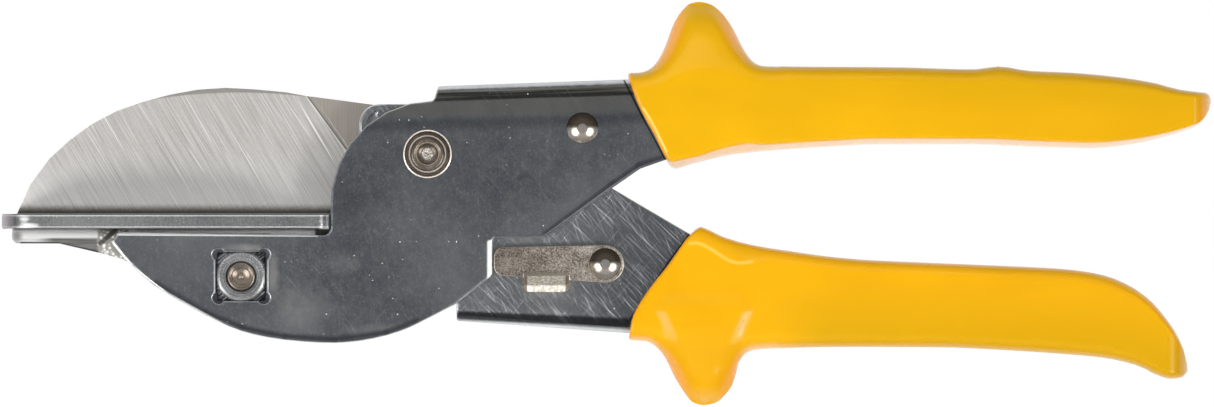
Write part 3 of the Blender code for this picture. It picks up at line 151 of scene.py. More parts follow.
class Signal:
    """One output in a node tree, with arithmetic on it."""

    def __init__(self, nodes: Nodes, socket: bpy.types.NodeSocket) -> None:
        """Wrap an output socket of a tree."""
        self.nodes = nodes
        self.socket = socket

    def math(self, operation: str, *values: Signal | float) -> Signal:
        """Return the result of a Math node on values in order."""
        return self.nodes.node("ShaderNodeMath", {"operation": operation}, *values)

    def __add__(self, other: Signal | float) -> Signal:
        """Return the sum."""
        return self.math("ADD", self, other)

    __radd__ = __add__

    def __sub__(self, other: Signal | float) -> Signal:
        """Return the difference."""
        return self.math("SUBTRACT", self, other)

    def __rsub__(self, other: Signal | float) -> Signal:
        """Return the other value less this one."""
        return self.math("SUBTRACT", other, self)

    def __mul__(self, other: Signal | float) -> Signal:
        """Return the product."""
        return self.math("MULTIPLY", self, other)

    def size(self) -> Signal:
        """Return the value without its sign."""
        return self.math("ABSOLUTE", self)

    def most(self, other: Signal | float) -> Signal:
        """Return the larger of two values."""
        return self.math("MAXIMUM", self, other)

    def least(self, other: Signal | float) -> Signal:
        """Return the smaller of two values."""
        return self.math("MINIMUM", self, other)

    def away(self, other: Signal) -> Signal:
        """Return the length of the vector that has two values as its sides."""
        return self.math("SQRT", self * self + other * other)

    def step(self, low: float, high: float) -> Signal:
        """Return a smooth step from 0 at low to 1 at high."""
        settings = {"interpolation_type": "SMOOTHSTEP"}
        return self.nodes.node("ShaderNodeMapRange", settings, self, low, high, 0.0, 1.0)

    def band(self, low: float, full: float, still: float, gone: float) -> Signal:
        """Return a mask that rises from low to full and falls from still to gone."""
        return self.step(low, full) * (1 - self.step(still, gone))

    def ridge(self, core: float, fade: float) -> Signal:
        """Return a mask that is full up to a distance from zero and gone at a longer one."""
        return 1 - self.size().step(core, fade)

    def output(self, name: str) -> Signal:
        """Return another output of the same node."""
        return Signal(self.nodes, self.socket.node.outputs[name])


class Nodes:
    """A node tree and the ways to add to it."""

    def __init__(self, tree: bpy.types.NodeTree) -> None:
        """Start on a tree."""
        self.tree = tree

    def node(self, kind: str, settings: dict[str, object], *values: object) -> Signal:
        """Add any node.

        Args:
            kind: The node's type.
            settings: Its properties, set before its sockets.
            values: Values or signals for its inputs in order.

        Returns:
            Its first output.
        """
        made = self.tree.nodes.new(kind)
        for name, value in settings.items():
            setattr(made, name, value)
        sockets = [socket for socket in made.inputs if socket.enabled]
        for socket, value in zip(sockets, values):
            if isinstance(value, Signal):
                self.tree.links.new(value.socket, socket)
            else:
                socket.default_value = value
        return Signal(self, next(socket for socket in made.outputs if socket.enabled))

    def ramp(self, stops: Sequence[Point], value: Signal, interpolation: str = "LINEAR") -> Signal:
        """Return the grey that a ramp gives for a value.

        Args:
            stops: The place and level of each stop, rising.
            value: The place on the ramp.
            interpolation: How the ramp runs between its stops.

        Returns:
            The grey.
        """
        made = self.node("ShaderNodeValToRGB", {}, value)
        ramp = made.socket.node.color_ramp
        ramp.interpolation = interpolation
        for index, (where, level) in enumerate((stops[0], stops[-1], *stops[1:-1])):
            element = ramp.elements[index] if index < 2 else ramp.elements.new(where)
            element.position = where
            element.color = (level, level, level, 1.0)
        return made

    def surface(self, output: str, shader: Signal) -> None:
        """Link a shader to the surface of the named output node."""
        self.tree.links.new(shader.socket, self.tree.nodes[output].inputs["Surface"])


class Bench(Nodes):
    """A material's node tree with its place and normal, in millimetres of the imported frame."""

    def __init__(self, title: str, metallic: float, **constants: object) -> None:
        """Start a material.

        Args:
            title: The material's name.
            metallic: The shader's metallic value.
            constants: Other sockets of the shader with their values.
        """
        self.material = bpy.data.materials.new(title)
        self.material.use_nodes = True
        super().__init__(self.material.node_tree)
        self.shader = self.tree.nodes["Principled BSDF"]
        for name, value in {"Metallic": metallic, **constants}.items():
            self.shader.inputs[name.replace("_", " ")].default_value = value
        place = self.node("ShaderNodeTexCoord", {})
        spot = self.node("ShaderNodeSeparateXYZ", {}, place.output("Object"))
        facing = self.node("ShaderNodeSeparateXYZ", {}, place.output("Normal"))
        self.x, self.y, self.z = (spot.output(axis) * (1 / MM) for axis in "XYZ")
        self.normal_x, self.normal_y, self.normal_z = (facing.output(axis) for axis in "XYZ")
        self.colour: Signal | None = None

    def stroke(self, start: Point, end: Point, core: float, fade: float) -> Signal:
        """Return a mask along a straight stroke in the XZ plane.

        Args:
            start: One end.
            end: The other end.
            core: Half the width of its full part.
            fade: Half the width where it ends.

        Returns:
            The mask, between 0 and 1.
        """
        (ax, az), (bx, bz) = start, end
        dx, dz = bx - ax, bz - az
        square = dx * dx + dz * dz
        share = self.x * (dx / square) + self.z * (dz / square) - (ax * dx + az * dz) / square
        share = share.most(0.0).least(1.0)
        return 1 - (self.x - share * dx - ax).away(self.z - share * dz - az).step(core, fade)

    def patch(self, spot: Point, reach_x: float, reach_z: float) -> Signal:
        """Return a soft round mask about a spot that is gone at its reaches along X and Z."""
        off_x, off_z = (self.x - spot[0]) * (1 / reach_x), (self.z - spot[1]) * (1 / reach_z)
        return 1 - off_x.away(off_z).step(0.15, 1.0)

    def vector(self, x: Signal | float, y: Signal | float, z: Signal | float) -> Signal:
        """Return a vector from three values."""
        return self.node("ShaderNodeCombineXYZ", {}, x, y, z)

    def noise_at(self, place: Signal, detail: float = 2.0, rough: float = 0.5) -> Signal:
        """Return noise at a scaled place, with finer layers and their strength."""
        return self.node("ShaderNodeTexNoise", {"noise_dimensions": "3D"}, place, 1.0, detail, rough)

    def scaled(self, size: float | Sequence[float], shift: float) -> Signal:
        """Count the place in cells.

        Args:
            size: Size of a cell, or one for each axis.
            shift: Offset that gives another pattern.

        Returns:
            The place in cells.
        """
        sizes = (size, size, size) if isinstance(size, (int, float)) else size
        axes = zip((self.x, self.y, self.z), sizes)
        return self.vector(*(place * (1 / one) + shift for place, one in axes))

    def noise(self, size: float | Sequence[float], shift: float = 0.0, detail: float = 2.0,
              rough: float = 0.5) -> Signal:
        """Return noise in cells of a size, as scaled and noise_at take them."""
        return self.noise_at(self.scaled(size, shift), detail, rough)

    def cells(self, size: float, shift: float = 0.0) -> Signal:
        """Return the distance, in cells, to the nearest of scattered points."""
        return self.node("ShaderNodeTexVoronoi", {"feature": "F1"}, self.scaled(size, shift), 1.0)

    def lines(self, degrees: float, length: float, width: float, shift: float, detail: float = 2.0,
              rough: float = 0.5) -> Signal:
        """Return noise in long narrow cells that lean in the XZ plane.

        Args:
            degrees: The angle of the long side below +X.
            length: The cell's length.
            width: Its width.
            shift: An offset that gives another part of the pattern.
            detail: The number of finer layers.
            rough: The strength of the finer layers.

        Returns:
            The noise.
        """
        c, s = math.cos(math.radians(degrees)), math.sin(math.radians(degrees))
        run = self.x * (c / length) - self.z * (s / length)
        across = self.x * (s / width) + self.z * (c / width)
        return self.noise_at(self.vector(run + shift, self.y * (1 / length), across + shift), detail, rough)

    def scratches(self, *sets: Sequence[float]) -> Signal:
        """Return a mask of thin broken lines.

        Args:
            sets: For each set of lines the angle below +X, the usual length, the width, the
                rarity from 0.5, many, to 0.8, few, and an offset that gives other lines.

        Returns:
            The sum of the sets.
        """
        marks: Signal | float = 0.0
        for degrees, length, width, rare, shift in sets:
            broken = self.lines(degrees, length * 0.6, width * 4, shift + 31.7, 1.0).step(0.42, 0.6)
            found = self.lines(degrees, length, width, shift, 1.0, 0.4).step(rare, rare + 0.08)
            marks = found * broken + marks
        return marks

    def blend(self, mask: Signal | float, first: Signal | Tint, second: Signal | Tint,
              how: str = "MIX") -> Signal:
        """Return two colours mixed by a mask.

        Args:
            mask: 0 gives the first colour, 1 the second.
            first: A colour or a signal.
            second: A colour or a signal.
            how: The way of mixing.

        Returns:
            The mixed colour.
        """
        made = self.tree.nodes.new("ShaderNodeMix")
        made.data_type, made.blend_type, made.clamp_factor = "RGBA", how, True
        for index, value in ((0, mask), (6, first), (7, second)):
            if isinstance(value, Signal):
                self.tree.links.new(value.socket, made.inputs[index])
            else:
                made.inputs[index].default_value = value if index == 0 else (*value, 1.0)
        return Signal(self, made.outputs[2])

    def lay(self, mask: Signal | float, tint: Signal | Tint, how: str = "MIX") -> None:
        """Lay a colour over the base colour where a mask says so."""
        self.colour = self.blend(mask, self.colour, tint, how)

    def feed(self, name: str, value: Signal) -> None:
        """Link a signal to a socket of the shader."""
        self.tree.links.new(value.socket, self.shader.inputs[name])

    def bump(self, height: Signal, depth: float, strength: float = 1.0) -> None:
        """Feed the shader's normal with a relief.

        Args:
            height: The relief, between 0 and 1.
            depth: Its depth.
            strength: How much of it shows.
        """
        made = self.tree.nodes.new("ShaderNodeBump")
        made.inputs["Strength"].default_value = strength
        made.inputs["Distance"].default_value = depth * MM
        self.tree.links.new(height.socket, made.inputs["Height"])
        self.feed("Normal", Signal(self, made.outputs["Normal"]))

    def finish(self, rough: Signal) -> Material:
        """Feed the base colour and the roughness.

        Args:
            rough: The roughness.

        Returns:
            The material.
        """
        self.feed("Base Color", self.colour)
        self.feed("Roughness", rough)
        return self.material


# Finishes


@dataclass(frozen=True)
class Finish:
    """A finish that makes its own material."""

    title: str
    pivot: Point = (0.0, 0.0)

    def at(self, spot: Point) -> Point:
        """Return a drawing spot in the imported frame's millimetres."""
        return self.pivot[0] + spot[0], self.pivot[1] + spot[1]


@dataclass(frozen=True)
class ZincPlate(Finish):
    """Polished zinc plate: dark, slightly blue, with cloudy patches, specks and scratches, and painted
    light: reflection bands by the fold, highlights on the edges, soft glares, shade on faces that look down,
    and strokes of highlight and shade.

    Painted light strokes are points, half width, fade and level; painted glares are middle, reaches and
    strength.
    """

    dark: Tint = (0.48, 0.49, 0.50)
    light: Tint = (0.64, 0.645, 0.65)
    scratched: float = 0.22
    rare: float = 0.06
    lean: float = 58.0
    rim: float = 0.6
    fold_shade: float = 0.0
    fold_line: tuple[Point, float] | None = None
    dim: tuple[Point, float] | None = None
    strokes: Sequence[Stroke] = ()
    hazes: Sequence[tuple[Point, float, float, float]] = ()

    def lay_fold(self, bench: Bench, mottle: Signal) -> None:
        """Lay painted reflection bands beside the upper handle's fold, with a painted dark line along it.

        Args:
            bench: The material's bench.
            mottle: The noise that makes their edges uneven.
        """
        x, z = self.at(self.fold_line[0])
        below = bench.z - (bench.x - x) * self.fold_line[1] - z + mottle * 0.3
        streak = bench.lines(-1.8, 40, 0.5, 5.0, 2.0, 0.6).step(0.45, 0.62)
        bench.lay(below.band(-9.0, -7.0, -6.6, -4.6) * 0.5, (0.13, 0.14, 0.165))
        bench.lay(below.band(-6.6, -4.6, -2.4, -2.0) * 0.7, (0.40, 0.40, 0.365))
        bench.lay(below.band(-2.4, -2.0, 0.15, 0.3) * 0.9,
                  bench.blend(streak, (0.075, 0.075, 0.065), (0.42, 0.39, 0.34)))
        bench.lay(below.ridge(0.1, 0.32) * 0.85, (0.02, 0.02, 0.02))

    def material(self) -> Material:
        """Make the material.

        Returns:
            The material.
        """
        bench = Bench(self.title, 1.0)
        cloud = bench.noise((34, 34, 26), 0.0, 3.0, 0.55)
        mottle = bench.noise(1.6, 7.0, 4.0, 0.6)
        grain = bench.noise(0.45, 2.0, 2.0, 0.6)
        drawn = bench.lines(84.0, 7, 0.24, 9.0, 2.0, 0.6)
        bench.colour = bench.blend(cloud.step(0.3, 0.72), self.dark, self.light)
        bench.lay(mottle.step(0.35, 0.75) * 0.3, (0.60, 0.60, 0.59))
        bench.lay(drawn.step(0.5, 0.75) * 0.16, (0.80, 0.80, 0.79))
        bench.lay(grain.step(0.5, 0.70) * 0.3, (0.78, 0.78, 0.77))
        if self.dim is not None:
            (first, last), share = self.dim
            dim = bench.x.step(self.pivot[0] + first, self.pivot[0] + last)
            bench.lay(dim * share, (0.17, 0.185, 0.205))
        # Painted reflection bands along the fold.
        if self.fold_line is not None:
            self.lay_fold(bench, mottle)
        # Painted glares: soft pale patches for reflections on the plate and on the pocket's rim.
        for spot, reach_x, reach_z, strength in self.hazes:
            soft = bench.patch(self.at(spot), reach_x, reach_z)
            bench.lay(soft * (mottle * 0.8 + 0.6) * strength, (0.98, 0.97, 0.93))
        slope = 1 - bench.normal_y.size()
        # Painted shade on faces that look down.
        under = (bench.normal_z * -1).step(0.05, 0.22) * (1 - slope.step(0.33, 0.42))
        bench.lay(under * self.fold_shade, (0.05, 0.055, 0.065))
        # Painted highlights along the rounded edges, where the plate turns away from the front.
        rim = slope.band(0.10, 0.22, 0.62, 0.8) * self.rim * (mottle * 0.7 + 0.5)
        marks = bench.scratches(
            (self.lean, 11, 0.13, 0.62 + self.rare, 3.0), (self.lean - 9, 12, 0.12, 0.62 + self.rare, 11.0),
            (self.lean + 17, 8, 0.12, 0.65 + self.rare, 19.0),
            (-self.lean, 8, 0.12, 0.67 + self.rare, 27.0))
        marks = (marks * self.scratched).least(1.0)
        specks = (1 - bench.cells(1.7, 5.0).step(0.05, 0.11)) * bench.noise(9, 2.0, 1.0).step(0.46, 0.64)
        bench.lay(marks, (0.92, 0.93, 0.95))
        bench.lay(specks * 0.85, (0.95, 0.93, 0.88))
        bench.lay((rim * 0.9).least(1.0), (0.90, 0.90, 0.88))
        # Less metal where the painted highlights and the specks are.
        plain = rim * 0.55 + specks * 0.3
        # Painted light and shade along given lines: pale ones are painted highlights on edges, dark ones
        # painted shade along edges and painted shadow by the grips' mouths.
        for points, core, fade, level in self.strokes:
            for start, end in zip(points, points[1:]):
                line = bench.stroke(self.at(start), self.at(end), core, fade)
                bench.lay(line * 0.92, (level, level, level * (0.97 if level > 0.5 else 1.12)))
                if level > 0.5:
                    plain = plain + line * 0.7
        bench.feed("Metallic", 1 - plain.least(0.75))
        bench.bump(mottle * 0.5 + marks + specks, 0.006, 0.6)
        return bench.finish(0.22 + cloud * 0.10 + mottle * 0.06 + marks * 0.35 + specks * 0.3)


@dataclass(frozen=True)
class CarrierZinc(Finish):
    """The carrier's plate: a painted highlight band under the table, grey below, rough near the jaw, with
    painted shade in its slit, along its lower edge, at its tip and inside the jaw.
    """

    band_z: float = -7.15
    rough_from: float = -105.2
    rough_to: float = -99.5
    notch: Sequence[Point] = ((-104.6, -8.2), (-101.6, -5.6))
    underside: Sequence[Point] = ((-121.0, -8.1), (-113.3, -8.2), (-105.2, -9.95))
    tip: Point = (-121.9, -6.9)
    inside_x: float = -60.0

    def material(self) -> Material:
        """Make the material.

        Returns:
            The material.
        """
        bench = Bench(self.title, 1.0)
        sand = bench.noise(0.45, 0.0, 3.0, 0.7)
        streak = bench.noise((7, 3, 0.5), 4.0, 2.0, 0.6)
        coarse = bench.cells(0.8, 3.0)
        # Painted highlight: the band under the table and the left end are laid pale, with less metal.
        band = bench.z.step(self.band_z - 0.25, self.band_z + 0.25)
        pale = (band + (1 - bench.x.step(-118.5, -114.0)) * 0.8).least(1.0)
        below = (1 - band) * bench.x.step(-117.5, -114.5)
        worn = bench.x.band(self.rough_from - 0.3, self.rough_from + 0.4, self.rough_to, self.rough_to + 1.5)
        bench.colour = bench.blend(streak.step(0.3, 0.7), (0.13, 0.128, 0.122), (0.23, 0.225, 0.215))
        bench.lay(pale * (streak * 0.3 + 0.8), (1.0, 0.995, 0.98))
        bench.lay(worn, bench.blend(coarse.step(0.15, 0.6), (0.95, 0.94, 0.90), (0.36, 0.34, 0.31)))
        # Painted shade: in the slit by the jaw, along the lower edge, on the rounded tip, and black inside
        # the jaw.
        bench.lay(bench.stroke(*self.notch, 0.25, 0.7) * 0.9, (0.04, 0.035, 0.03))
        for start, end in zip(self.underside, self.underside[1:]):
            bench.lay(bench.stroke(start, end, 0.06, 0.32) * 0.9, (0.02, 0.02, 0.02))
        bench.lay(bench.patch(self.tip, 1.7, 1.6) * 0.75, (0.17, 0.16, 0.165))
        bench.lay(bench.x.step(self.inside_x - 0.5, self.inside_x), (0.02, 0.02, 0.02))
        bench.feed("Metallic", 1 - (pale * 0.95 + worn * 0.6 + below * 0.8).least(0.95))
        bench.bump(sand + worn * coarse, 0.03, 0.6)
        return bench.finish(0.36 + sand * 0.2)


@dataclass(frozen=True)
class GroundSteel(Finish):
    """Ground blade steel: fine lines that run down to the right, some of them bright, painted lighter
    towards the edge, with a painted highlight and a painted dark line by the grind line and painted shade
    just above the edge.
    """

    dark: Tint = (0.34, 0.325, 0.305)
    light: Tint = (0.69, 0.67, 0.645)
    lean: float = 59.0
    brink: Point = (-24.5, 11.7)
    brink_turn: float = math.atan2(11.4, 8.3)
    crown: Point = (-76.0, 22.95)
    crown_bend: float = 0.0044

    def material(self) -> Material:
        """Make the material.

        Returns:
            The material.
        """
        bench = Bench(self.title, 0.5)
        fine = bench.lines(self.lean, 16, 0.23, 0.0, 1.0, 0.6)
        hair = bench.lines(self.lean + 0.8, 12, 0.36, 8.0, 1.0)
        wide = bench.lines(self.lean, 70, 2.6, 4.0)
        grain = bench.noise(0.4, 5.0, 2.0, 0.6)
        tone = (fine * 0.50 + hair * 0.26 + wide * 0.03 + bench.noise((16, 16, 12), 9.0, 3.0) * 0.07
                + grain * 0.14)
        bright = bench.scratches((self.lean + 1.0, 30, 0.25, 0.63, 15.0),
                                 (self.lean - 2.5, 20, 0.23, 0.65, 23.0))
        gouge = bench.scratches((self.lean + 0.6, 22, 0.23, 0.64, 41.0))
        x, z = self.at(self.brink)
        across = (bench.x - x) * math.sin(self.brink_turn) + (bench.z - z) * math.cos(self.brink_turn)
        bare = across.step(-0.05, 0.05)
        bench.colour = bench.blend(tone.step(0.24, 0.76), self.dark, self.light)
        # Painted light: the blade is laid lighter towards its edge.
        bench.lay((1 - bench.z.step(-1, 13)) * 0.8,
                  bench.blend(tone.step(0.28, 0.66), (0.80, 0.78, 0.75), (1.0, 0.99, 0.97)))
        bench.lay((bright * 0.85).least(1.0), (1.0, 0.99, 0.97))
        bench.lay((gouge * 0.6).least(1.0), (0.30, 0.29, 0.27))
        off = bench.x - self.crown[0]
        unground = (bench.z - self.crown[1] + off * off * self.crown_bend).step(-0.12, 0.12)
        bench.lay(unground * 0.85, (0.27, 0.255, 0.235))
        # A painted highlight beside the grind line and a painted dark line along it.
        bench.lay((across + 0.42).ridge(0.06, 0.22) * 0.4, (0.95, 0.94, 0.91))
        bench.lay((across + 0.12).ridge(0.1, 0.26) * 0.85, (0.10, 0.095, 0.09))
        satin = bench.lines(90.0, 20, 0.3, 2.0, 3.0, 0.6).step(0.3, 0.7)
        bench.lay(bare, bench.blend(satin, (0.34, 0.305, 0.27), (0.40, 0.365, 0.33)))
        shade = 1 - (bench.z + grain * 0.5).step(-1.55, 0.45)
        bench.lay(shade * 0.93, (0.035, 0.028, 0.02))
        bench.bump(fine + bright, 0.01, 0.5)
        return bench.finish(0.44 + tone * 0.14 - bare * 0.08)


@dataclass(frozen=True)
class WarmNickel(Finish):
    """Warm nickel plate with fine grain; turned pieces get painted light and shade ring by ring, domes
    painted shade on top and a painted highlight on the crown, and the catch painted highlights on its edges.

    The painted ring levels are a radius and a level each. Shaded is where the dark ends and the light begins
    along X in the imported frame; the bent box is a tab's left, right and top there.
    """

    dark: Tint = (0.46, 0.395, 0.335)
    light: Tint = (0.86, 0.79, 0.71)
    grain: float = 0.5
    smooth: float = 0.16
    middle: Point | None = None
    tones: Sequence[Point] = ()
    star: float = 0.0
    bright_rings: Sequence[Point] = ((2.4, 0.35), (3.75, 0.45), (4.85, 0.85))
    hatched_past: float | None = None
    brown_top: float = 0.0
    rim: float = 0.0
    metal: float = 1.0
    shaded: Point | None = None
    bent: tuple[float, float, float] | None = None

    def lay_rings(self, bench: Bench) -> None:
        """Lay turning marks, and painted light and shade by the distance from the middle.

        Args:
            bench: The material's bench.
        """
        x, z = self.at(self.middle)
        away = (bench.x - x).away(bench.z - z)
        rings = bench.noise_at(bench.vector(away * (1 / 0.16), 0.0, 0.0))
        reach = self.tones[-1][0]
        stops = [(radius / reach, level) for radius, level in self.tones]
        # Painted light and shade: each ring is darkened to its own level.
        bench.lay(0.9, bench.ramp(stops, away * (1 / reach)), "MULTIPLY")
        bench.lay(rings.step(0.35, 0.65) * 0.38, (0.14, 0.115, 0.095))
        # Painted shade on the nut's corners past the chamfer ring, with lighter hatch lines.
        if self.hatched_past is not None:
            hatch = bench.lines(-38.0, 5, 0.32, 6.0, 1.0).step(0.5, 0.6)
            bench.lay(away.step(self.hatched_past, self.hatched_past + 0.2),
                      bench.blend(hatch, (0.05, 0.05, 0.055), (0.42, 0.43, 0.45)))
        if self.star > 0:
            # Painted highlights on the ring edges, with less metal there.
            lit: Signal | float = 0.0
            for radius, share in self.bright_rings:
                lit = (away - radius).ridge(0.06, 0.2) * share + lit
            bench.lay(lit, (1.0, 0.93, 0.82))
            # Pale speckle on the rough floor: the roughness is real, the pale colour a painted glint.
            floor = 1 - away.step(self.star * 0.75, self.star)
            speckle = bench.noise(0.24, 14.0, 2.0, 0.8)
            bench.lay(floor * speckle.step(0.40, 0.60), (1.0, 0.96, 0.90))
            bench.feed("Metallic", self.metal - lit * 0.5)
            bench.bump(speckle * floor + rings * 0.12, 0.14, 0.9)
        else:
            bench.bump(rings, 0.02, 0.5)

    def lay_tab(self, bench: Bench, sand: Signal) -> Signal:
        """Lay the pale hammered tab with its dark ends.

        Args:
            bench: The material's bench.
            sand: The plate's grain.

        Returns:
            The tab's mask.
        """
        left, right, top = self.bent
        tab = (1 - bench.z.step(top - 0.1, top)) * bench.x.band(left, left + 0.1, right - 0.1, right)
        inner = bench.x.band(left + 0.7, left + 0.9, right - 0.9, right - 0.7)
        hammered = bench.cells(0.6)
        pale = bench.blend(hammered.step(0.2, 0.7), (1.0, 0.98, 0.92), (0.66, 0.60, 0.48))
        bench.lay(tab, bench.blend(inner, (0.30, 0.24, 0.17), pale))
        bench.feed("Metallic", self.metal - tab * 0.55)
        bench.bump(hammered * tab + sand * 0.3, 0.05, 0.7)
        return tab

    def material(self) -> Material:
        """Make the material.

        Returns:
            The material.
        """
        bench = Bench(self.title, self.metal)
        sand = bench.noise(0.34, 0.0, 3.0, 0.7)
        tone = bench.noise((5, 5, 3), 3.0) * (1 - self.grain) + sand * self.grain
        bench.colour = bench.blend(tone.step(0.3, 0.7), self.dark, self.light)
        rough = self.smooth + sand * (0.2 * (self.grain + 0.2))
        steep = 1 - bench.normal_y.size()
        if self.brown_top > 0:
            # Painted shade on the dome's top and steep flanks, and a painted highlight on its flat crown.
            bench.lay(bench.normal_z.step(-0.06, 0.16) * self.brown_top, (0.10, 0.07, 0.045))
            bench.lay(steep.step(0.24, 0.45) * 0.85, (0.07, 0.055, 0.04))
            tilt = bench.normal_x.away(bench.normal_z - 0.04)
            bench.lay((1 - tilt.step(0.09, 0.13)) * 0.7, (0.90, 0.86, 0.82))
        if self.shaded is not None:
            bench.lay((1 - (bench.x + sand * 3).step(*self.shaded)) * 0.5, (0.15, 0.12, 0.095))
        # Painted highlights on the catch's rolled edges.
        if self.rim > 0:
            bench.lay(steep.band(0.10, 0.25, 0.6, 0.8) * self.rim, (1.0, 0.94, 0.84))
        if self.middle is not None:
            self.lay_rings(bench)
        elif self.bent is not None:
            rough = rough + self.lay_tab(bench, sand) * 0.25
        else:
            bench.bump(sand, 0.01, 0.35)
        return bench.finish(rough)


@dataclass(frozen=True)
class TableAlloy(Finish):
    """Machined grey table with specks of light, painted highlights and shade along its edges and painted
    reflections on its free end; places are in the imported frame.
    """

    middle_z: float = -3.67
    tip_x: float = -121.9
    dusk: Point = (-121.4, -3.6)
    glares: Sequence[tuple[Point, float, float, float]] = (
        ((-118.6, -4.5), 2.6, 0.8, 1.0), ((-119.6, -3.2), 1.6, 0.7, 0.6))

    def material(self) -> Material:
        """Make the material.

        Returns:
            The material.
        """
        bench = Bench(self.title, 1.0)
        sand = bench.noise(0.5, 0.0, 4.0, 0.75)
        tone = sand * 0.5 + bench.noise((15, 9, 9), 3.0) * 0.3 + bench.noise((0.35, 25, 2), 5.0) * 0.2
        specks = (1 - bench.cells(1.1, 8.0).step(0.05, 0.14)) * bench.noise(5, 6.0, 1.0).step(0.35, 0.55)
        brim = (bench.z - self.middle_z).size()
        pale = brim.band(0.98, 1.1, 1.22, 1.32) * (sand * 0.5 + 0.4)
        broad = bench.normal_z.size().step(0.8, 0.98)
        bench.colour = bench.blend(tone.step(0.3, 0.68), (0.24, 0.245, 0.25), (0.56, 0.56, 0.56))
        bench.lay(specks, (0.98, 0.97, 0.93))
        # Painted highlights along the front face's top and bottom edges, and painted shade on the bevels
        # beyond them.
        bench.lay(pale, (0.92, 0.92, 0.90))
        bench.lay(brim.step(1.30, 1.42) * (1 - broad) * 0.9, (0.05, 0.05, 0.05))
        # Painted reflections on the rounded free end: pale at the tip, a dark patch and pale glares beside
        # it.
        bench.lay((1 - bench.x.step(self.tip_x - 0.7, self.tip_x)) * 0.8, (0.50, 0.455, 0.475))
        bench.lay(bench.patch(self.dusk, 1.3, 2.2) * 0.8, (0.10, 0.10, 0.105))
        glare: Signal | float = 0.0
        for spot, reach_x, reach_z, share in self.glares:
            glare = bench.patch(spot, reach_x, reach_z) * share + glare
        glare = glare.least(1.0)
        bench.lay(glare * (sand * 0.4 + 0.45), (1.0, 1.0, 0.98))
        bench.feed("Metallic", 1 - (pale * 0.5 + glare * 0.7 + broad * 0.6).least(0.9))
        bench.bump(sand + specks, 0.012, 0.5)
        return bench.finish(0.34 + sand * 0.2)


@dataclass(frozen=True)
class DippedVinyl(Finish):
    """Thick glossy vinyl dip with painted shade on its sides and top and a painted pale reflection
    underneath, and the relief of what it covers.

    The root is the swelling over the horn's root: its middle, half width at the top and height.
    Painted highlight lines are points, half width, fade and share. The painted shade runs from a line (a
    point and its rise) over a reach, below the line where the reach is positive.
    """

    deep: Tint = (0.69, 0.34, 0.001)
    fresh: Tint = (0.77, 0.38, 0.001)
    edge_share: float = 0.6
    under: float = 0.2
    root: tuple[Point, float, float] | None = None
    rubbed: Sequence[Stroke] = ()
    shade: tuple[Point, float, float] = ((97.6, 18.0), -0.05, 10.0)

    def relief(self, bench: Bench) -> Signal:
        """Work out the dip's relief.

        Args:
            bench: The material's bench.

        Returns:
            The height of its unevenness and of the root.
        """
        height = bench.noise(3.2, 4.0) * 0.012
        if self.root is not None:
            spot, half_width, rise = self.root
            x, z = self.at(spot)
            beyond = (bench.x - x).size() - half_width - (bench.z - z).least(0.0) * 0.42
            cover = (1 - beyond.step(-3.6, 0.0)) * bench.z.band(z - 11, z - 3, z - 1, z + 6)
            height = height + cover * rise
        return height

    def material(self) -> Material:
        """Make the material.

        Returns:
            The material.
        """
        bench = Bench(self.title, 0.0, Specular_IOR_Level=0.45)
        cloud = bench.noise((30, 18, 16))
        bench.colour = bench.blend(cloud.step(0.3, 0.7), self.deep, self.fresh)
        bench.lay(bench.x.step(40, 115) * 0.35, (0.60, 0.30, 0.001))
        # Painted shade on faces that turn sideways and up, and a painted pale reflection on faces that look
        # down.
        bench.lay(bench.normal_x.size().step(0.25, 0.9) * 0.8, (0.80, 0.30, 0.01))
        bench.lay(bench.normal_z.step(0.45, 1.0) * self.edge_share, (0.52, 0.33, 0.03))
        bench.lay((bench.normal_z * -1).step(0.55, 0.95) * self.under, (0.95, 0.72, 0.60))
        spot, rise, reach = self.shade
        x, z = self.at(spot)
        off = (bench.z - z - (bench.x - x) * rise) * (1 if reach > 0 else -1)
        dusk = off.step(-abs(reach), 1) * bench.x.step(self.pivot[0] + 66, self.pivot[0] + 84)
        bench.lay(dusk * 0.85, (0.55, 0.30, 0.001))
        front = 1 - bench.normal_y.step(-0.1, 0.1)
        # Painted highlights along the upper grip's lip and the lower grip's crease.
        for points, core, fade, share in self.rubbed:
            line: Signal | float = 0.0
            for start, end in zip(points, points[1:]):
                line = bench.stroke(self.at(start), self.at(end), core, fade).most(line)
            bench.lay(front * line * share, (0.92, 0.58, 0.12))
        bench.lay((1 - bench.cells(5.5, 1.0).step(0.012, 0.035)) * 0.15, (0.45, 0.24, 0.02))
        bench.bump(self.relief(bench), 1.0)
        return bench.finish(0.10 + cloud * 0.06)


@dataclass(frozen=True)
class CutStrip(Finish):
    """Satin plastic strip with a dark groove worn by the edge."""

    def material(self) -> Material:
        """Make the material.

        Returns:
            The material.
        """
        bench = Bench(self.title, 0.0)
        grain = bench.noise(0.6, 0.0, 3.0, 0.7)
        nicks = bench.noise((9, 0.16, 2), 3.0, 2.0, 0.6)
        worn = bench.y.ridge(0.25, 1.1)
        bench.colour = bench.blend(grain, (0.66, 0.64, 0.58), (0.78, 0.76, 0.70))
        bench.lay(worn * nicks.step(0.4, 0.6) * 0.8, (0.24, 0.23, 0.21))
        bench.bump(grain * 0.3 - worn * nicks, 0.06, 0.8)
        return bench.finish(0.42 + grain * 0.2)


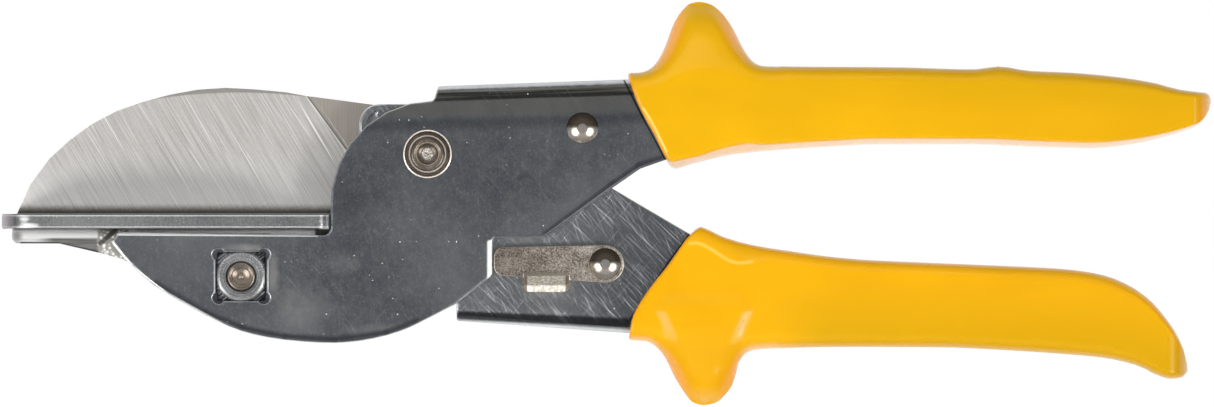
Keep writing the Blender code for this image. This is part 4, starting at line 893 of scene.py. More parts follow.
@dataclass(frozen=True)
class DrawnWire(Finish):
    """Drawn spring wire, dark, with die lines."""

    def material(self) -> Material:
        """Make the material.

        Returns:
            The material.
        """
        bench = Bench(self.title, 1.0)
        lines = bench.noise((0.2, 0.2, 3), 0.0, 3.0, 0.6)
        bench.colour = bench.blend(lines, (0.25, 0.25, 0.26), (0.55, 0.55, 0.56))
        bench.bump(lines, 0.006, 0.4)
        return bench.finish(0.25 + lines * 0.2)


@dataclass(frozen=True)
class Palette:
    """Every material of the tool."""

    plate: Material
    scratched: Material
    plain: Material
    steel: Material
    turned: Material
    bolt_end: Material
    domed: Material
    pressed: Material
    bright: Material
    upper_vinyl: Material
    lower_vinyl: Material
    wire: Material
    table: Material
    strip: Material
    carrier: Material


def mix_palette(pivot: Vector) -> Palette:
    """Make the materials.

    Args:
        pivot: The drawing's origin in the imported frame.

    Returns:
        The palette.
    """
    at = (pivot.x / MM, pivot.z / MM)
    plate = ZincPlate("zinc_polished", at, (0.26, 0.285, 0.33), (0.50, 0.515, 0.54), rim=0.4, fold_shade=0.5,
                      fold_line=((2.2, 13.2), 0.031), strokes=JAW_PAINTED_LIGHT, hazes=JAW_PAINTED_GLARES)
    scratched = ZincPlate("zinc_scratched", at, (0.36, 0.385, 0.42), (0.52, 0.54, 0.56), scratched=0.42,
                          rare=-0.025, lean=52.0, fold_shade=0.6, dim=((22.0, 52.0), 0.55),
                          strokes=LEVER_PAINTED_SHADE)
    turned = WarmNickel("nickel_turned", at, (0.36, 0.28, 0.21), (0.95, 0.84, 0.72), middle=PIVOT_SPOT,
                        grain=0.35, star=1.35, metal=0.8, tones=PIVOT_PAINTED_RINGS)
    bolt_end = WarmNickel("nickel_bolt", at, (0.40, 0.32, 0.25), (0.80, 0.68, 0.56), middle=BOLT_SPOT,
                          grain=0.3, metal=0.8, tones=BOLT_PAINTED_RINGS)
    domed = WarmNickel("nickel_domed", at, (0.76, 0.67, 0.56), (0.92, 0.84, 0.74), grain=0.15,
                       brown_top=0.9, metal=0.92)
    pressed = WarmNickel("nickel_pressed", at, (0.10, 0.08, 0.06), (1.0, 0.90, 0.78), grain=0.7, smooth=0.32,
                         rim=0.8, shaded=(-24.0, -6.0), metal=0.9, bent=(-17.2, -7.7, -14.9))
    bright = WarmNickel("nickel_bright", at, (0.42, 0.43, 0.44), (0.80, 0.81, 0.83), grain=0.25, smooth=0.22,
                        middle=BOLT_SPOT, hatched_past=5.15, metal=0.6, tones=NUT_PAINTED_RINGS)
    upper = DippedVinyl("vinyl_upper", at, (0.64, 0.335, 0.001), (0.72, 0.37, 0.001), under=0.35,
                        rubbed=UPPER_LIP_HIGHLIGHT)
    lower = DippedVinyl("vinyl_lower", at, edge_share=0.35, root=((57.2, -32.4), 10.8, 0.9),
                        rubbed=LOWER_CREASE_HIGHLIGHT, shade=((87.2, -39.6), -0.06, -16.0))
    finishes = (plate, scratched, ZincPlate("zinc_plain", at), GroundSteel("ground_steel_lines", at), turned,
                bolt_end, domed, pressed, bright, upper, lower, DrawnWire("drawn_wire"),
                TableAlloy("table_alloy_machined"), CutStrip("cut_strip"), CarrierZinc("zinc_carrier"))
    return Palette(*(finish.material() for finish in finishes))


# Modelling by hand with Blender's operators


def deselect() -> None:
    """Leave edit mode and select nothing."""
    if bpy.context.object is not None and bpy.context.object.mode != "OBJECT":
        bpy.ops.object.mode_set(mode="OBJECT")
    bpy.ops.object.select_all(action="DESELECT")


def take(obj: Piece) -> Piece:
    """Leave edit mode and make one piece the active and only selected one.

    Args:
        obj: The piece.

    Returns:
        The same piece.
    """
    deselect()
    bpy.context.view_layer.objects.active = obj
    obj.select_set(True)
    return obj


def edit(obj: Piece, choose: Rule | None, kind: str, work: Callable[[], object], least: float = 0.0) -> None:
    """Run operators in edit mode on what a rule picks.

    Args:
        obj: The piece.
        choose: A rule on each vertex, the middle of each edge or all corners of each face, or
            None for everything.
        kind: The select mode, VERT, EDGE or FACE.
        work: What is done to the selection.
        least: The least angle in degrees at an edge that is picked.
    """
    take(obj)
    bpy.ops.object.mode_set(mode="EDIT")
    bpy.ops.mesh.select_mode(type=kind)
    bpy.ops.mesh.select_all(action="SELECT" if choose is None else "DESELECT")
    if choose is not None:
        mesh = bmesh.from_edit_mesh(obj.data)
        for vertex in mesh.verts if kind == "VERT" else ():
            vertex.select_set(choose(vertex.co))
        for edge in mesh.edges if kind == "EDGE" else ():
            sharp = least <= 0 or edge.calc_face_angle(0.0) > math.radians(least)
            edge.select_set(sharp and choose((edge.verts[0].co + edge.verts[1].co) / 2))
        for face in mesh.faces if kind == "FACE" else ():
            face.select_set(all(choose(vertex.co) for vertex in face.verts))
        mesh.select_flush_mode()
        bmesh.update_edit_mesh(obj.data)
    work()
    bpy.ops.object.mode_set(mode="OBJECT")


def shift(obj: Piece, choose: Rule | None, x: float = 0.0, z: float = 0.0) -> None:
    """Move the vertices that a rule picks, or all of them, along X and Z."""
    edit(obj, choose, "VERT", lambda: bpy.ops.transform.translate(value=(x * MM, 0.0, z * MM)))


def all_outward() -> None:
    """Select the whole mesh in edit mode and turn its faces outward."""
    bpy.ops.mesh.select_all(action="SELECT")
    bpy.ops.mesh.normals_make_consistent(inside=False)


def settle(title: str) -> Piece:
    """Name the object just added and put its place, turn and size into its mesh.

    Args:
        title: The piece's name.

    Returns:
        The piece.
    """
    obj = take(bpy.context.object)
    obj.name = obj.data.name = title
    bpy.ops.object.transform_apply(location=True, rotation=True, scale=True)
    return obj


def apply_modifier(obj: Piece, kind: str, **settings: object) -> None:
    """Add a modifier and apply it.

    Args:
        obj: The piece.
        kind: The modifier's type.
        settings: The modifier's properties.
    """
    take(obj)
    modifier = obj.modifiers.new(kind.title(), kind)
    for name, value in settings.items():
        setattr(modifier, name, value)
    bpy.ops.object.modifier_apply(modifier=modifier.name)


def break_edges(obj: Piece, width: float, segments: int = 2, angle: float = 30.0) -> None:
    """Round the edges of a piece that are sharper than an angle in degrees."""
    apply_modifier(obj, "BEVEL", width=width * MM, segments=segments, limit_method="ANGLE",
                   angle_limit=math.radians(angle), use_clamp_overlap=False, miter_outer="MITER_ARC")


def round_edges(obj: Piece, width: float, segments: int, angle: float, choose: Rule) -> None:
    """Round the edges that a rule picks among those sharper than an angle in degrees."""
    edit(obj, choose, "EDGE", lambda: bpy.ops.mesh.bevel(
        offset=width * MM, segments=segments, clamp_overlap=False, miter_outer="ARC"), angle)


def smooth(obj: Piece, angle: float = 35.0, weighted: bool = True) -> Piece:
    """Shade a piece smooth up to an angle.

    Args:
        obj: The piece.
        angle: The angle in degrees.
        weighted: Whether large faces keep their own normals.

    Returns:
        The same piece.
    """
    take(obj)
    bpy.ops.object.shade_smooth_by_angle(angle=math.radians(angle), keep_sharp_edges=False)
    if weighted:
        apply_modifier(obj, "WEIGHTED_NORMAL", keep_sharp=True, weight=60)
    return obj


def carve(obj: Piece, cutter: Piece, operation: str = "DIFFERENCE") -> None:
    """Cut, join or intersect a piece with another, which is used up."""
    apply_modifier(obj, "BOOLEAN", operation=operation, object=cutter, solver="EXACT")
    bpy.data.objects.remove(cutter, do_unlink=True)


def block(title: str, at: Sequence[float], size: Sequence[float]) -> Piece:
    """Make a block.

    Args:
        title: The piece's name.
        at: Its middle in metres.
        size: Its sides.

    Returns:
        The piece.
    """
    deselect()
    bpy.ops.mesh.primitive_cube_add(size=MM, location=at)
    bpy.context.object.scale = size
    return settle(title)


def lathe(title: str, at: Sequence[float], profile: Sequence[Point], sides: int = 64) -> Piece:
    """Turn a piece about the Y direction by growing a disc ring by ring.

    Args:
        title: The piece's name.
        at: The profile's origin on the axis, in metres.
        profile: Radius and Y of each ring, both ends closed by a flat disc.
        sides: The number of sides.

    Returns:
        The piece.
    """
    x, face, z = at
    rings = [(radius * MM, face + y * MM) for radius, y in profile]
    deselect()
    bpy.ops.mesh.primitive_circle_add(vertices=sides, radius=rings[0][0], fill_type="NGON",
                                      location=(x, rings[0][1], z), rotation=(math.pi / 2, 0.0, 0.0))
    obj = settle(title)

    def grow() -> None:
        """Extrude the disc along the profile."""
        for (radius, y), (next_radius, next_y) in zip(rings, rings[1:]):
            bpy.ops.mesh.extrude_region_move(TRANSFORM_OT_translate={"value": (0.0, next_y - y, 0.0)})
            ratio = next_radius / radius
            bpy.ops.transform.resize(value=(ratio, 1.0, ratio), center_override=(x, next_y, z))
        all_outward()

    edit(obj, None, "FACE", grow)
    return obj


class Course:
    """A smooth height along X through given points, without overshoot."""

    def __init__(self, points: Sequence[Point]) -> None:
        """Work out the slopes at the points.

        Args:
            points: Places along X, rising, with their heights.
        """
        self.points = list(points)
        runs = [b[0] - a[0] for a, b in zip(points, points[1:])]
        rises = [(b[1] - a[1]) / run for a, b, run in zip(points, points[1:], runs)]
        self.slopes = [rises[0]]
        for run, next_run, before, after in zip(runs, runs[1:], rises, rises[1:]):
            w1, w2 = 2 * next_run + run, next_run + 2 * run
            self.slopes.append(0.0 if before * after <= 0 else (w1 + w2) / (w1 / before + w2 / after))
        self.slopes.append(rises[-1])

    def at(self, x: float) -> float:
        """Return the height at a place.

        Args:
            x: The place along X.

        Returns:
            The height.
        """
        if x <= self.points[0][0]:
            return self.points[0][1]
        for a, b, rise, next_rise in zip(self.points, self.points[1:], self.slopes, self.slopes[1:]):
            if x <= b[0]:
                run = b[0] - a[0]
                t = (x - a[0]) / run
                return ((2 * t ** 3 - 3 * t ** 2 + 1) * a[1] + (t ** 3 - 2 * t ** 2 + t) * run * rise
                        + (3 * t ** 2 - 2 * t ** 3) * b[1] + (t ** 3 - t ** 2) * run * next_rise)
        return self.points[-1][1]


# Sub-assemblies


@dataclass
class SubAssembly:
    """A group of pieces that is built, dressed and reported together."""

    frame: dict
    pivot: Vector
    palette: Palette
    pieces: list[Piece] = field(default_factory=list)

    def spot(self, x: float, z: float) -> Point:
        """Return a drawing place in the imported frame's metres."""
        return self.pivot.x + x * MM, self.pivot.z + z * MM

    def drawn(self, place: Vector) -> Point:
        """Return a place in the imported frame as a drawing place."""
        return (place.x - self.pivot.x) / MM, (place.z - self.pivot.z) / MM

    def within(self, left: float, right: float, low: float, high: float) -> Rule:
        """Return a rule that picks what lies between the four sides of a box of the drawing."""
        (x0, z0), (x1, z1) = self.spot(left, low), self.spot(right, high)
        return lambda at: x0 < at.x < x1 and z0 < at.z < z1

    def bare_copy(self, node: str, title: str) -> Piece:
        """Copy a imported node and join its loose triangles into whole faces.

        Args:
            node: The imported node's name.
            title: The copy's name.

        Returns:
            The copy.
        """
        copy = bpy.data.objects.new(title, self.frame["nodes"][node].data.copy())
        copy.data.name = title
        bpy.context.scene.collection.objects.link(copy)
        copy.data.materials.clear()

        def join() -> None:
            """Weld the corners and drop the edges inside flat faces."""
            bpy.ops.mesh.customdata_custom_splitnormals_clear()
            bpy.ops.mesh.remove_doubles(threshold=WELD * MM)
            bpy.ops.mesh.dissolve_limited(angle_limit=FLAT_ANGLE)
            bpy.ops.mesh.normals_make_consistent(inside=False)

        edit(copy, None, "VERT", join)
        return copy

    def copy_of(self, node: str, title: str, width: float = 0.2, segments: int = 2) -> Piece:
        """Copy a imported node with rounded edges.

        Args:
            node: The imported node's name.
            title: The piece's name.
            width: The width of the rounds.
            segments: Their segments.

        Returns:
            The piece.
        """
        piece = self.bare_copy(node, title)
        break_edges(piece, width, segments)
        return smooth(piece)

    def hand_over(self, piece: Piece, body: Body | None, slot: Slot, material: Material,
                  *nodes: str) -> None:
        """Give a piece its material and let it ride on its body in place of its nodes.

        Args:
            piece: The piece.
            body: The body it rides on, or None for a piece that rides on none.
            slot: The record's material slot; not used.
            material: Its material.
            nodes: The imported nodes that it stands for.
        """
        piece.data.materials.clear()
        piece.data.materials.append(material)
        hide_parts(*nodes)
        if body is not None:
            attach(piece, body.value)
        self.pieces.append(piece)

    def hand_over_plain(self, body: Body, *nodes: str, width: float = 0.2, segments: int = 2) -> None:
        """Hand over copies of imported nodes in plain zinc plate.

        Args:
            body: The body they ride on.
            nodes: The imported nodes.
            width: The width of their edge rounds.
            segments: The rounds' segments.
        """
        for node in nodes:
            piece = self.copy_of(node, node + "_part", width, segments)
            self.hand_over(piece, body, Slot.ZINC, self.palette.plain, node)

    def dress(self) -> None:
        """Build every piece and hand it over."""
        raise NotImplementedError

    def report(self) -> None:
        """Log every piece with its triangle count."""
        for piece in self.pieces:
            triangles = sum(len(face.vertices) - 2 for face in piece.data.polygons)
            LOG.info("%s: %s, %d triangles", type(self).__name__, piece.name, triangles)


@dataclass
class JawFrame(SubAssembly):
    """The folded frame sheet with its jaw, pocket and upper handle."""

    edge: float = 0.55
    pocket_rim: float = 0.5
    pocket_reach: float = 9.5
    pocket_share: float = 0.895
    hole_reach: float = 6.0
    left_rise: float = 0.65
    notch_shift: float = 1.3
    tip: Sides = (-66.0, -60.0, -16.92, -16.68)
    notch: Sides = (11.5, 13.2, -25.5, -17.1)
    pocket: Sides = (-45.1, -31.9, -31.9, -18.7)
    pocket_y: float = -3.9

    def fit(self, sheet: Piece) -> None:
        """Lift the jaw's tip to the table, close the notch on the catch and draw the pocket in.

        Args:
            sheet: The frame sheet.
        """
        shift(sheet, self.within(*self.tip), z=self.left_rise)
        shift(sheet, self.within(*self.notch), x=self.notch_shift)
        at_pocket = self.within(*self.pocket)
        x, z = self.spot(*BOLT_SPOT)
        share = (self.pocket_share, 1.0, self.pocket_share)
        edit(sheet, lambda at: at_pocket(at) and at.y < self.pocket_y * MM, "VERT",
             lambda: bpy.ops.transform.resize(value=share, center_override=(x, 0.0, z)))

    def build(self) -> Piece:
        """Roll the sheet's edges and soften the rim round the nut's pocket.

        Returns:
            The frame sheet.
        """
        sheet = self.bare_copy("main_frame", "frame_sheet")
        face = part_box("main_frame")[0][1]

        def at_pocket(at: Vector) -> bool:
            """Return whether a place is near the pocket."""
            return math.dist(self.drawn(at), BOLT_SPOT) < self.pocket_reach and at.y < 0

        def at_hole(at: Vector) -> bool:
            """Return whether a place is at the pivot's hole."""
            return math.dist(self.drawn(at), PIVOT_SPOT) < self.hole_reach

        self.fit(sheet)
        round_edges(sheet, self.pocket_rim, 4, 30.0, lambda at: at_pocket(at) and at.y < face + SKIN * MM)
        round_edges(sheet, self.edge, 4, 30.0, lambda at: not at_pocket(at) and not at_hole(at))
        return smooth(sheet, 40.0)

    def dress(self) -> None:
        """Build the sheet and hand it over."""
        self.hand_over(self.build(), Body.FRAME, Slot.ZINC, self.palette.plate, "main_frame")


@dataclass
class LeverSheet(SubAssembly):
    """The folded lever sheet with its nose, and what fills it round the blade."""

    edge: float = 0.4
    nose_edge: float = 0.7
    nose_x: float = -7.0
    dimple: Point = (-11.4, 7.5)
    dimple_radii: Tint = (1.0, 0.7, 2.2)
    dimple_out: float = 0.45
    dimple_turn: float = math.radians(38.0)

    def build(self) -> Piece:
        """Round the sheet's edges and press a dimple in its nose.

        Returns:
            The lever sheet.
        """
        sheet = self.bare_copy("handle_lever", "lever_sheet")
        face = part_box("handle_lever")[0][1]
        x, z = self.spot(*self.dimple)
        deselect()
        bpy.ops.mesh.primitive_uv_sphere_add(segments=32, ring_count=16, radius=MM,
                                             location=(x, face - self.dimple_out * MM, z),
                                             rotation=(0.0, self.dimple_turn, 0.0))
        bpy.context.object.scale = self.dimple_radii
        carve(sheet, settle("dimple"))
        nose_end = self.spot(self.nose_x, 0.0)[0]
        round_edges(sheet, self.nose_edge, 4, 60.0, lambda at: at.x < nose_end)
        round_edges(sheet, self.edge, 3, 40.0, lambda at: at.x >= nose_end)
        return smooth(sheet, 40.0)

    def dress(self) -> None:
        """Build the sheet and its fillings and hand them over."""
        self.hand_over(self.build(), Body.LEVER, Slot.ZINC, self.palette.scratched, "handle_lever")
        self.hand_over_plain(Body.LEVER, "blade_packing_front", "blade_packing_rear", "blade_pin")


@dataclass
class Blade(SubAssembly):
    """The straight-edged blade; its back is raised by a height at each place."""

    edge: float = 0.1
    closing: float = 0.27
    bevel_height: float = 0.3
    back: Sequence[Point] = (
        (-85.2, 0.0), (-84.3, 1.0), (-82.9, 1.6), (-80.4, 1.7), (-75.5, 1.5), (-73.0, 1.25), (-68.0, 1.1),
        (-65.6, 0.95), (-63.1, 0.6), (-60.6, 0.4), (-57.0, 0.12), (-50.0, 0.0), (-35.0, 0.0), (-33.0, 0.25),
        (-30.9, 0.6), (-28.4, 0.85), (-25.9, 1.15), (-23.4, 1.2), (-18.5, 0.9), (-13.5, 0.5), (-8.0, 0.0))

    def dress(self) -> None:
        """Build the blade and hand it over."""
        blade = self.bare_copy("blade", "blade_plate")
        edge_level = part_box("blade")[0][2]
        shift(blade, lambda at: at.z < edge_level + SKIN * MM, z=-self.closing)
        back = Course(self.back)
        for vertex in blade.data.vertices:
            x, _z = self.drawn(vertex.co)
            if vertex.co.z > edge_level + self.bevel_height * MM and x < self.back[-1][0]:
                vertex.co.z += back.at(x) * MM
        break_edges(blade, self.edge, 2)
        self.hand_over(smooth(blade), Body.LEVER, Slot.GROUND, self.palette.steel, "blade")


@dataclass
class Grip(SubAssembly):
    """One dipped grip: a loft from its slanted mouth along its handle, with a domed guard horn.

    The horn's side is 1 above the grip and -1 below it.
    """

    node: str = ""
    body: Body = Body.FRAME
    vinyl: Material | None = None
    top: Sequence[Point] = ()
    low: Sequence[Point] = ()
    mouth: Sequence[Point] = ()
    half_width: float = 9.3
    corner_top: float = 3.4
    corner_low: float = 3.4
    belly: float = 0.0
    usual_height: float = 20.0
    even_from: float = 51.5
    horn_side: int = 1
    horn_base: float = 14.0
    horn_power: float = 2.0
    horn_soft: float = 6.0
    horn_share: float = 0.86
    horn_from: float = 45.5
    horn_end: float = 70.0
    corner_segments: tuple[int, int] = (7, 5)
    side_cuts: int = 37
    flat_cuts: int = 7
    lip_steps: int = 7
    least_rise: float = 0.6
    least_width: float = 0.16
    tail_power: float = 2.2
    even_over: float = 6.0
    even_power: float = 2.2
    horn_foot: float = 44.0
    horn_fade: float = 5.0
    horn_middle: float = 1.8
    horn_smoothing: int = 10
    mouth_reach: float = 0.06
    mouth_floor: Point = (0.95, 0.84)
    join: float = 76.0
    fine_step: float = 0.7
    long_step: float = 2.2
    tail_round: float = 4.5
    wall: float = 1.5
    hollow: float = 5.0
    lip: float = 1.15

    def rim_line(self) -> list[Point]:
        """Return the mouth's line where its lip starts to turn in."""
        return [(x + self.lip, z) for x, z in self.mouth]

    def rim_course(self) -> Course:
        """Return the place along X of the rim line at each height."""
        return Course(sorted((z, x) for x, z in self.rim_line()))

    def rings(self) -> list[Point]:
        """Space the rings of the loft.

        Returns:
            The place of each ring's top and bottom along X.
        """
        start_top, start_low = self.rim_line()[0][0], self.rim_line()[-1][0]
        count = math.ceil((self.join - min(start_top, start_low)) / self.fine_step)
        places = [(start_top + (self.join - start_top) * k / count,
                   start_low + (self.join - start_low) * k / count) for k in range(count + 1)]
        end = self.top[-1][0]
        x = self.join
        while x < end:
            x = min(end, x + (self.fine_step if x > end - 2 * self.tail_round else self.long_step))
            places.append((x, x))
        return places

    def width_at(self, x: float) -> float:
        """Return the half width of the grip at a place."""
        left = max(0.0, 1 - (self.top[-1][0] - x) / self.tail_round)
        return self.half_width * max(self.least_width, math.sqrt(max(0.0, 1 - left ** self.tail_power)))

    def section(self, height: float) -> Piece:
        """Return the first ring: a rounded section with a bellied underside.

        Args:
            height: The section's height.

        Returns:
            The ring as a lone face, upright at the foot of the mouth.
        """
        foot_x, foot_z = self.rim_line()[-1]
        x, z = self.spot(foot_x, foot_z + height / 2)
        deselect()
        bpy.ops.mesh.primitive_plane_add(size=MM, location=(x, 0.0, z), rotation=(0.0, math.pi / 2, 0.0))
        bpy.context.object.scale = (height, 2 * self.half_width, 1.0)
        obj = settle(self.node + "_dip")
        top, low = self.corner_segments
        edit(obj, lambda at: at.z > z, "VERT",
             lambda: bpy.ops.mesh.bevel(affect="VERTICES", offset=self.corner_top * MM, segments=top))
        edit(obj, lambda at: at.z < z - height * 0.45 * MM, "VERT",
             lambda: bpy.ops.mesh.bevel(affect="VERTICES", offset=self.corner_low * MM, segments=low))
        middle_edge = (self.half_width - self.corner_top) * MM
        edit(obj, lambda at: abs(at.y) > middle_edge and abs(at.z - z) < height * 0.3 * MM, "EDGE",
             lambda: bpy.ops.mesh.subdivide(number_cuts=self.side_cuts))
        edit(obj, lambda at: abs(at.y) < SKIN * MM, "EDGE",
             lambda: bpy.ops.mesh.subdivide(number_cuts=self.flat_cuts))
        if self.belly > 0:
            bottom = z - (height / 2 - SKIN) * MM
            reach = (self.half_width - self.corner_low) * MM
            for vertex in obj.data.vertices:
                if vertex.co.z < bottom:
                    vertex.co.z -= self.belly * MM * max(0.0, 1 - (vertex.co.y / reach) ** 2)
        return obj

    def slant(self, obj: Piece) -> None:
        """Lean the first ring along the mouth's curve.

        Args:
            obj: The ring.
        """
        course, foot_x = self.rim_course(), self.rim_line()[-1][0]
        for vertex in obj.data.vertices:
            vertex.co.x += (course.at(self.drawn(vertex.co)[1]) - foot_x) * MM

    def loft(self) -> Piece:
        """Extrude the first ring and fit it from place to place.

        Returns:
            The closed loft.
        """
        top, low, places = Course(self.top), Course(self.low), self.rings()
        first_top, first_low = places[0]
        obj = self.section(top.at(first_top) - low.at(first_low) - self.belly)
        shift(obj, None, z=low.at(first_low) + self.belly - self.mouth[-1][1])
        self.slant(obj)

        def grow() -> None:
            """Extrude ring after ring, each fitted to the outline."""
            width = self.half_width
            for (last_top, last_low), (next_top, next_low) in zip(places, places[1:]):
                foot, next_foot = low.at(last_low), low.at(next_low)
                rise = max(self.least_rise, top.at(last_top) - foot)
                next_rise = max(self.least_rise, top.at(next_top) - next_foot)
                lean, next_lean = last_top - last_low, next_top - next_low
                lean_ratio = next_lean / lean if abs(lean) > 1e-6 else 1.0
                next_width = self.width_at(next_low)
                way = ((next_low - last_low) * MM, 0.0, (next_foot - foot) * MM)
                bpy.ops.mesh.extrude_region_move(TRANSFORM_OT_translate={"value": way})
                at_x, at_z = self.spot(next_low, next_foot)
                bpy.ops.transform.resize(value=(lean_ratio, next_width / width, next_rise / rise),
                                         center_override=(at_x, 0.0, at_z))
                width = next_width
            all_outward()

        edit(obj, None, "FACE", grow)
        return obj

    def even_edge(self, obj: Piece) -> None:
        """Keep the side away from the horn at the same rounding along the whole grip.

        Args:
            obj: The grip.
        """
        top, low = Course(self.top), Course(self.low)
        for vertex in obj.data.vertices:
            x, z = self.drawn(vertex.co)
            high, deep = top.at(x), low.at(x)
            rise = high - deep
            share = (z - deep) / rise if self.horn_side > 0 else (high - z) / rise
            fade = min(1.0, max(0.0, (x - self.even_from) / self.even_over))
            if rise > self.usual_height and 0.0 < share < 1.0 and fade > 0.0:
                fade = fade * fade * (3 - 2 * fade)
                away = self.usual_height * share + (rise - self.usual_height) * share ** self.even_power
                new_z = deep + away if self.horn_side > 0 else high - away
                vertex.co.z = self.pivot.z + (z + (new_z - z) * fade) * MM

    def flanks(self) -> dict[int, Point]:
        """Measure the horn.

        Returns:
            Its left and right flank at each half millimetre above its base.
        """
        outline = Course(self.top if self.horn_side > 0 else self.low)
        spans: dict[int, Point] = {}
        x = self.horn_foot
        while x < self.horn_end:
            reach = (outline.at(x) - self.horn_base) * self.horn_side
            for level in range(int(reach * 2) + 1 if reach > 0 else 0):
                left, right = spans.get(level, (x, x))
                spans[level] = (min(left, x), max(right, x))
            x += 0.1
        return spans

    def dome_horn(self, obj: Piece) -> None:
        """Draw the guard horn in towards its outline, so that it is a soft dome.

        Args:
            obj: The grip.
        """
        spans = self.flanks()
        tallest = max(spans) / 2
        for vertex in obj.data.vertices:
            x, z = self.drawn(vertex.co)
            height = (z - self.horn_base) * self.horn_side
            if height <= 0 or x > self.horn_end:
                continue
            left, right = spans.get(min(int(height * 2), max(spans)), (x, x))
            across = min(1.0, abs(x - (left + right) / 2) / max(0.5, (right - left) / 2))
            rise = min(1.0, height / tallest)
            blend = min(1.0, height / self.horn_soft) * min(1.0, (self.horn_end - x) / self.horn_fade)
            blend = blend * blend * (3 - 2 * blend)
            dome = (1 - across ** self.horn_power) ** 0.5 * math.sqrt(max(0.0, 1 - rise ** 3))
            thin = 1 - (1 - self.horn_share) * blend
            vertex.co.y *= thin * (1 + (max(self.least_width, dome) - 1) * blend)
        side, base = self.horn_side, self.horn_base - 3.0 * self.horn_side
        near = self.within(self.horn_from, self.horn_end + 3, *sorted((base, base + side * 1000.0)))
        edit(obj, lambda at: near(at) and abs(at.y) > self.horn_middle * MM, "VERT",
             lambda: bpy.ops.mesh.vertices_smooth(factor=0.5, repeat=self.horn_smoothing))

    def open_mouth(self, obj: Piece) -> None:
        """Turn the lip in step by step and hollow the mouth.

        Args:
            obj: The grip.
        """
        line, course = self.rim_line(), self.rim_course()

        def at_mouth(at: Vector) -> bool:
            """Return whether a place is on the mouth's face."""
            x, z = self.drawn(at)
            return abs(x - course.at(z)) < self.mouth_reach

        def turn_in() -> None:
            """Merge the mouth's face, roll its lip and push its floor in."""
            bpy.ops.mesh.dissolve_faces()
            x, z = self.spot((line[0][0] + line[-1][0]) / 2, (line[0][1] + line[-1][1]) / 2)
            half = (line[0][1] - line[-1][1]) / 2
            last_in = last_out = 0.0
            for step in range(1, self.lip_steps + 1):
                turn = math.radians(90 * step / self.lip_steps)
                turned_in, out = self.lip * (1 - math.cos(turn)), self.lip * math.sin(turn)
                x -= (out - last_out) * MM
                bpy.ops.mesh.extrude_region_move(
                    TRANSFORM_OT_translate={"value": ((last_out - out) * MM, 0.0, 0.0)})
                along = (half - turned_in) / (half - last_in)
                wide = (self.half_width - turned_in) / (self.half_width - last_in)
                bpy.ops.transform.resize(value=(along, wide, along), center_override=(x, 0.0, z))
                last_in, last_out = turned_in, out
            bpy.ops.mesh.inset(thickness=(self.wall - self.lip) * MM)
            bpy.ops.mesh.extrude_region_move(TRANSFORM_OT_translate={"value": (self.hollow * MM, 0.0, 0.0)})
            bpy.ops.transform.resize(value=(1.0, *self.mouth_floor))

        edit(obj, at_mouth, "FACE", turn_in)

    def dress(self) -> None:
        """Build the grip, dome its horn, open its mouth and hand it over."""
        grip = self.loft()
        self.even_edge(grip)
        self.dome_horn(grip)
        self.open_mouth(grip)
        smooth(grip, 42.0, weighted=False)
        grip.visible_glossy = False
        self.hand_over(grip, self.body, Slot.VINYL, self.vinyl, self.node)


@dataclass
class PivotStack(SubAssembly):
    """The turned pivot with its bush, washer and nut.

    The head's rings are a share of its radius and a depth.
    """

    head_radius: float = 5.05
    head_rings: Sequence[Point] = (
        (0.10, 1.55), (0.28, 1.45), (0.40, 1.15), (0.47, 0.60), (0.50, 0.12), (0.53, 0.02), (0.62, 0.0),
        (0.65, 0.10), (0.665, 0.34), (0.79, 0.36), (0.81, 0.26), (0.85, 0.24), (0.87, 0.56), (0.93, 0.58),
        (0.95, 0.48), (0.985, 0.55), (1.0, 0.74))
    neck_radius: float = 4.6
    thread_radius: float = 4.0
    thread_pitch: float = 0.8
    thread_depth: float = 0.35
    thread_run: float = 1.2

    def pin(self) -> Piece:
        """Turn the pin with its stepped rings, its bowl and a thread at the back.

        Returns:
            The pin.
        """
        front, back = (corner[1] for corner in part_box("pivot_pin"))
        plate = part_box("main_frame")[0][1]
        face, start, end = (plate - front) / MM, (-plate - front) / MM + 0.1, (back - front) / MM
        profile = [(share * self.head_radius, y) for share, y in self.head_rings]
        profile += [(self.head_radius, face - 0.02), (self.neck_radius, face - 0.01),
                    (self.neck_radius, start), (self.thread_radius, start)]
        y = start + self.thread_run
        while y < end - self.thread_pitch:
            profile += [(self.thread_radius, y),
                        (self.thread_radius - self.thread_depth, y + self.thread_pitch * 0.5)]
            y += self.thread_pitch
        profile += [(self.thread_radius - 0.4, end - 0.15), (self.thread_radius - 0.6, end)]
        pin = lathe("pivot_pin_turned", (self.pivot.x, front, self.pivot.z), profile, FINE_SIDES)
        return smooth(pin, 38.0, weighted=False)

    def dress(self) -> None:
        """Build the stack and hand it over."""
        self.hand_over(self.pin(), Body.FRAME, Slot.NICKEL, self.palette.turned, "pivot_pin")
        self.hand_over_plain(Body.LEVER, "pivot_bush")
        self.hand_over_plain(Body.FRAME, "pivot_washer", "pivot_nut", width=0.22, segments=3)


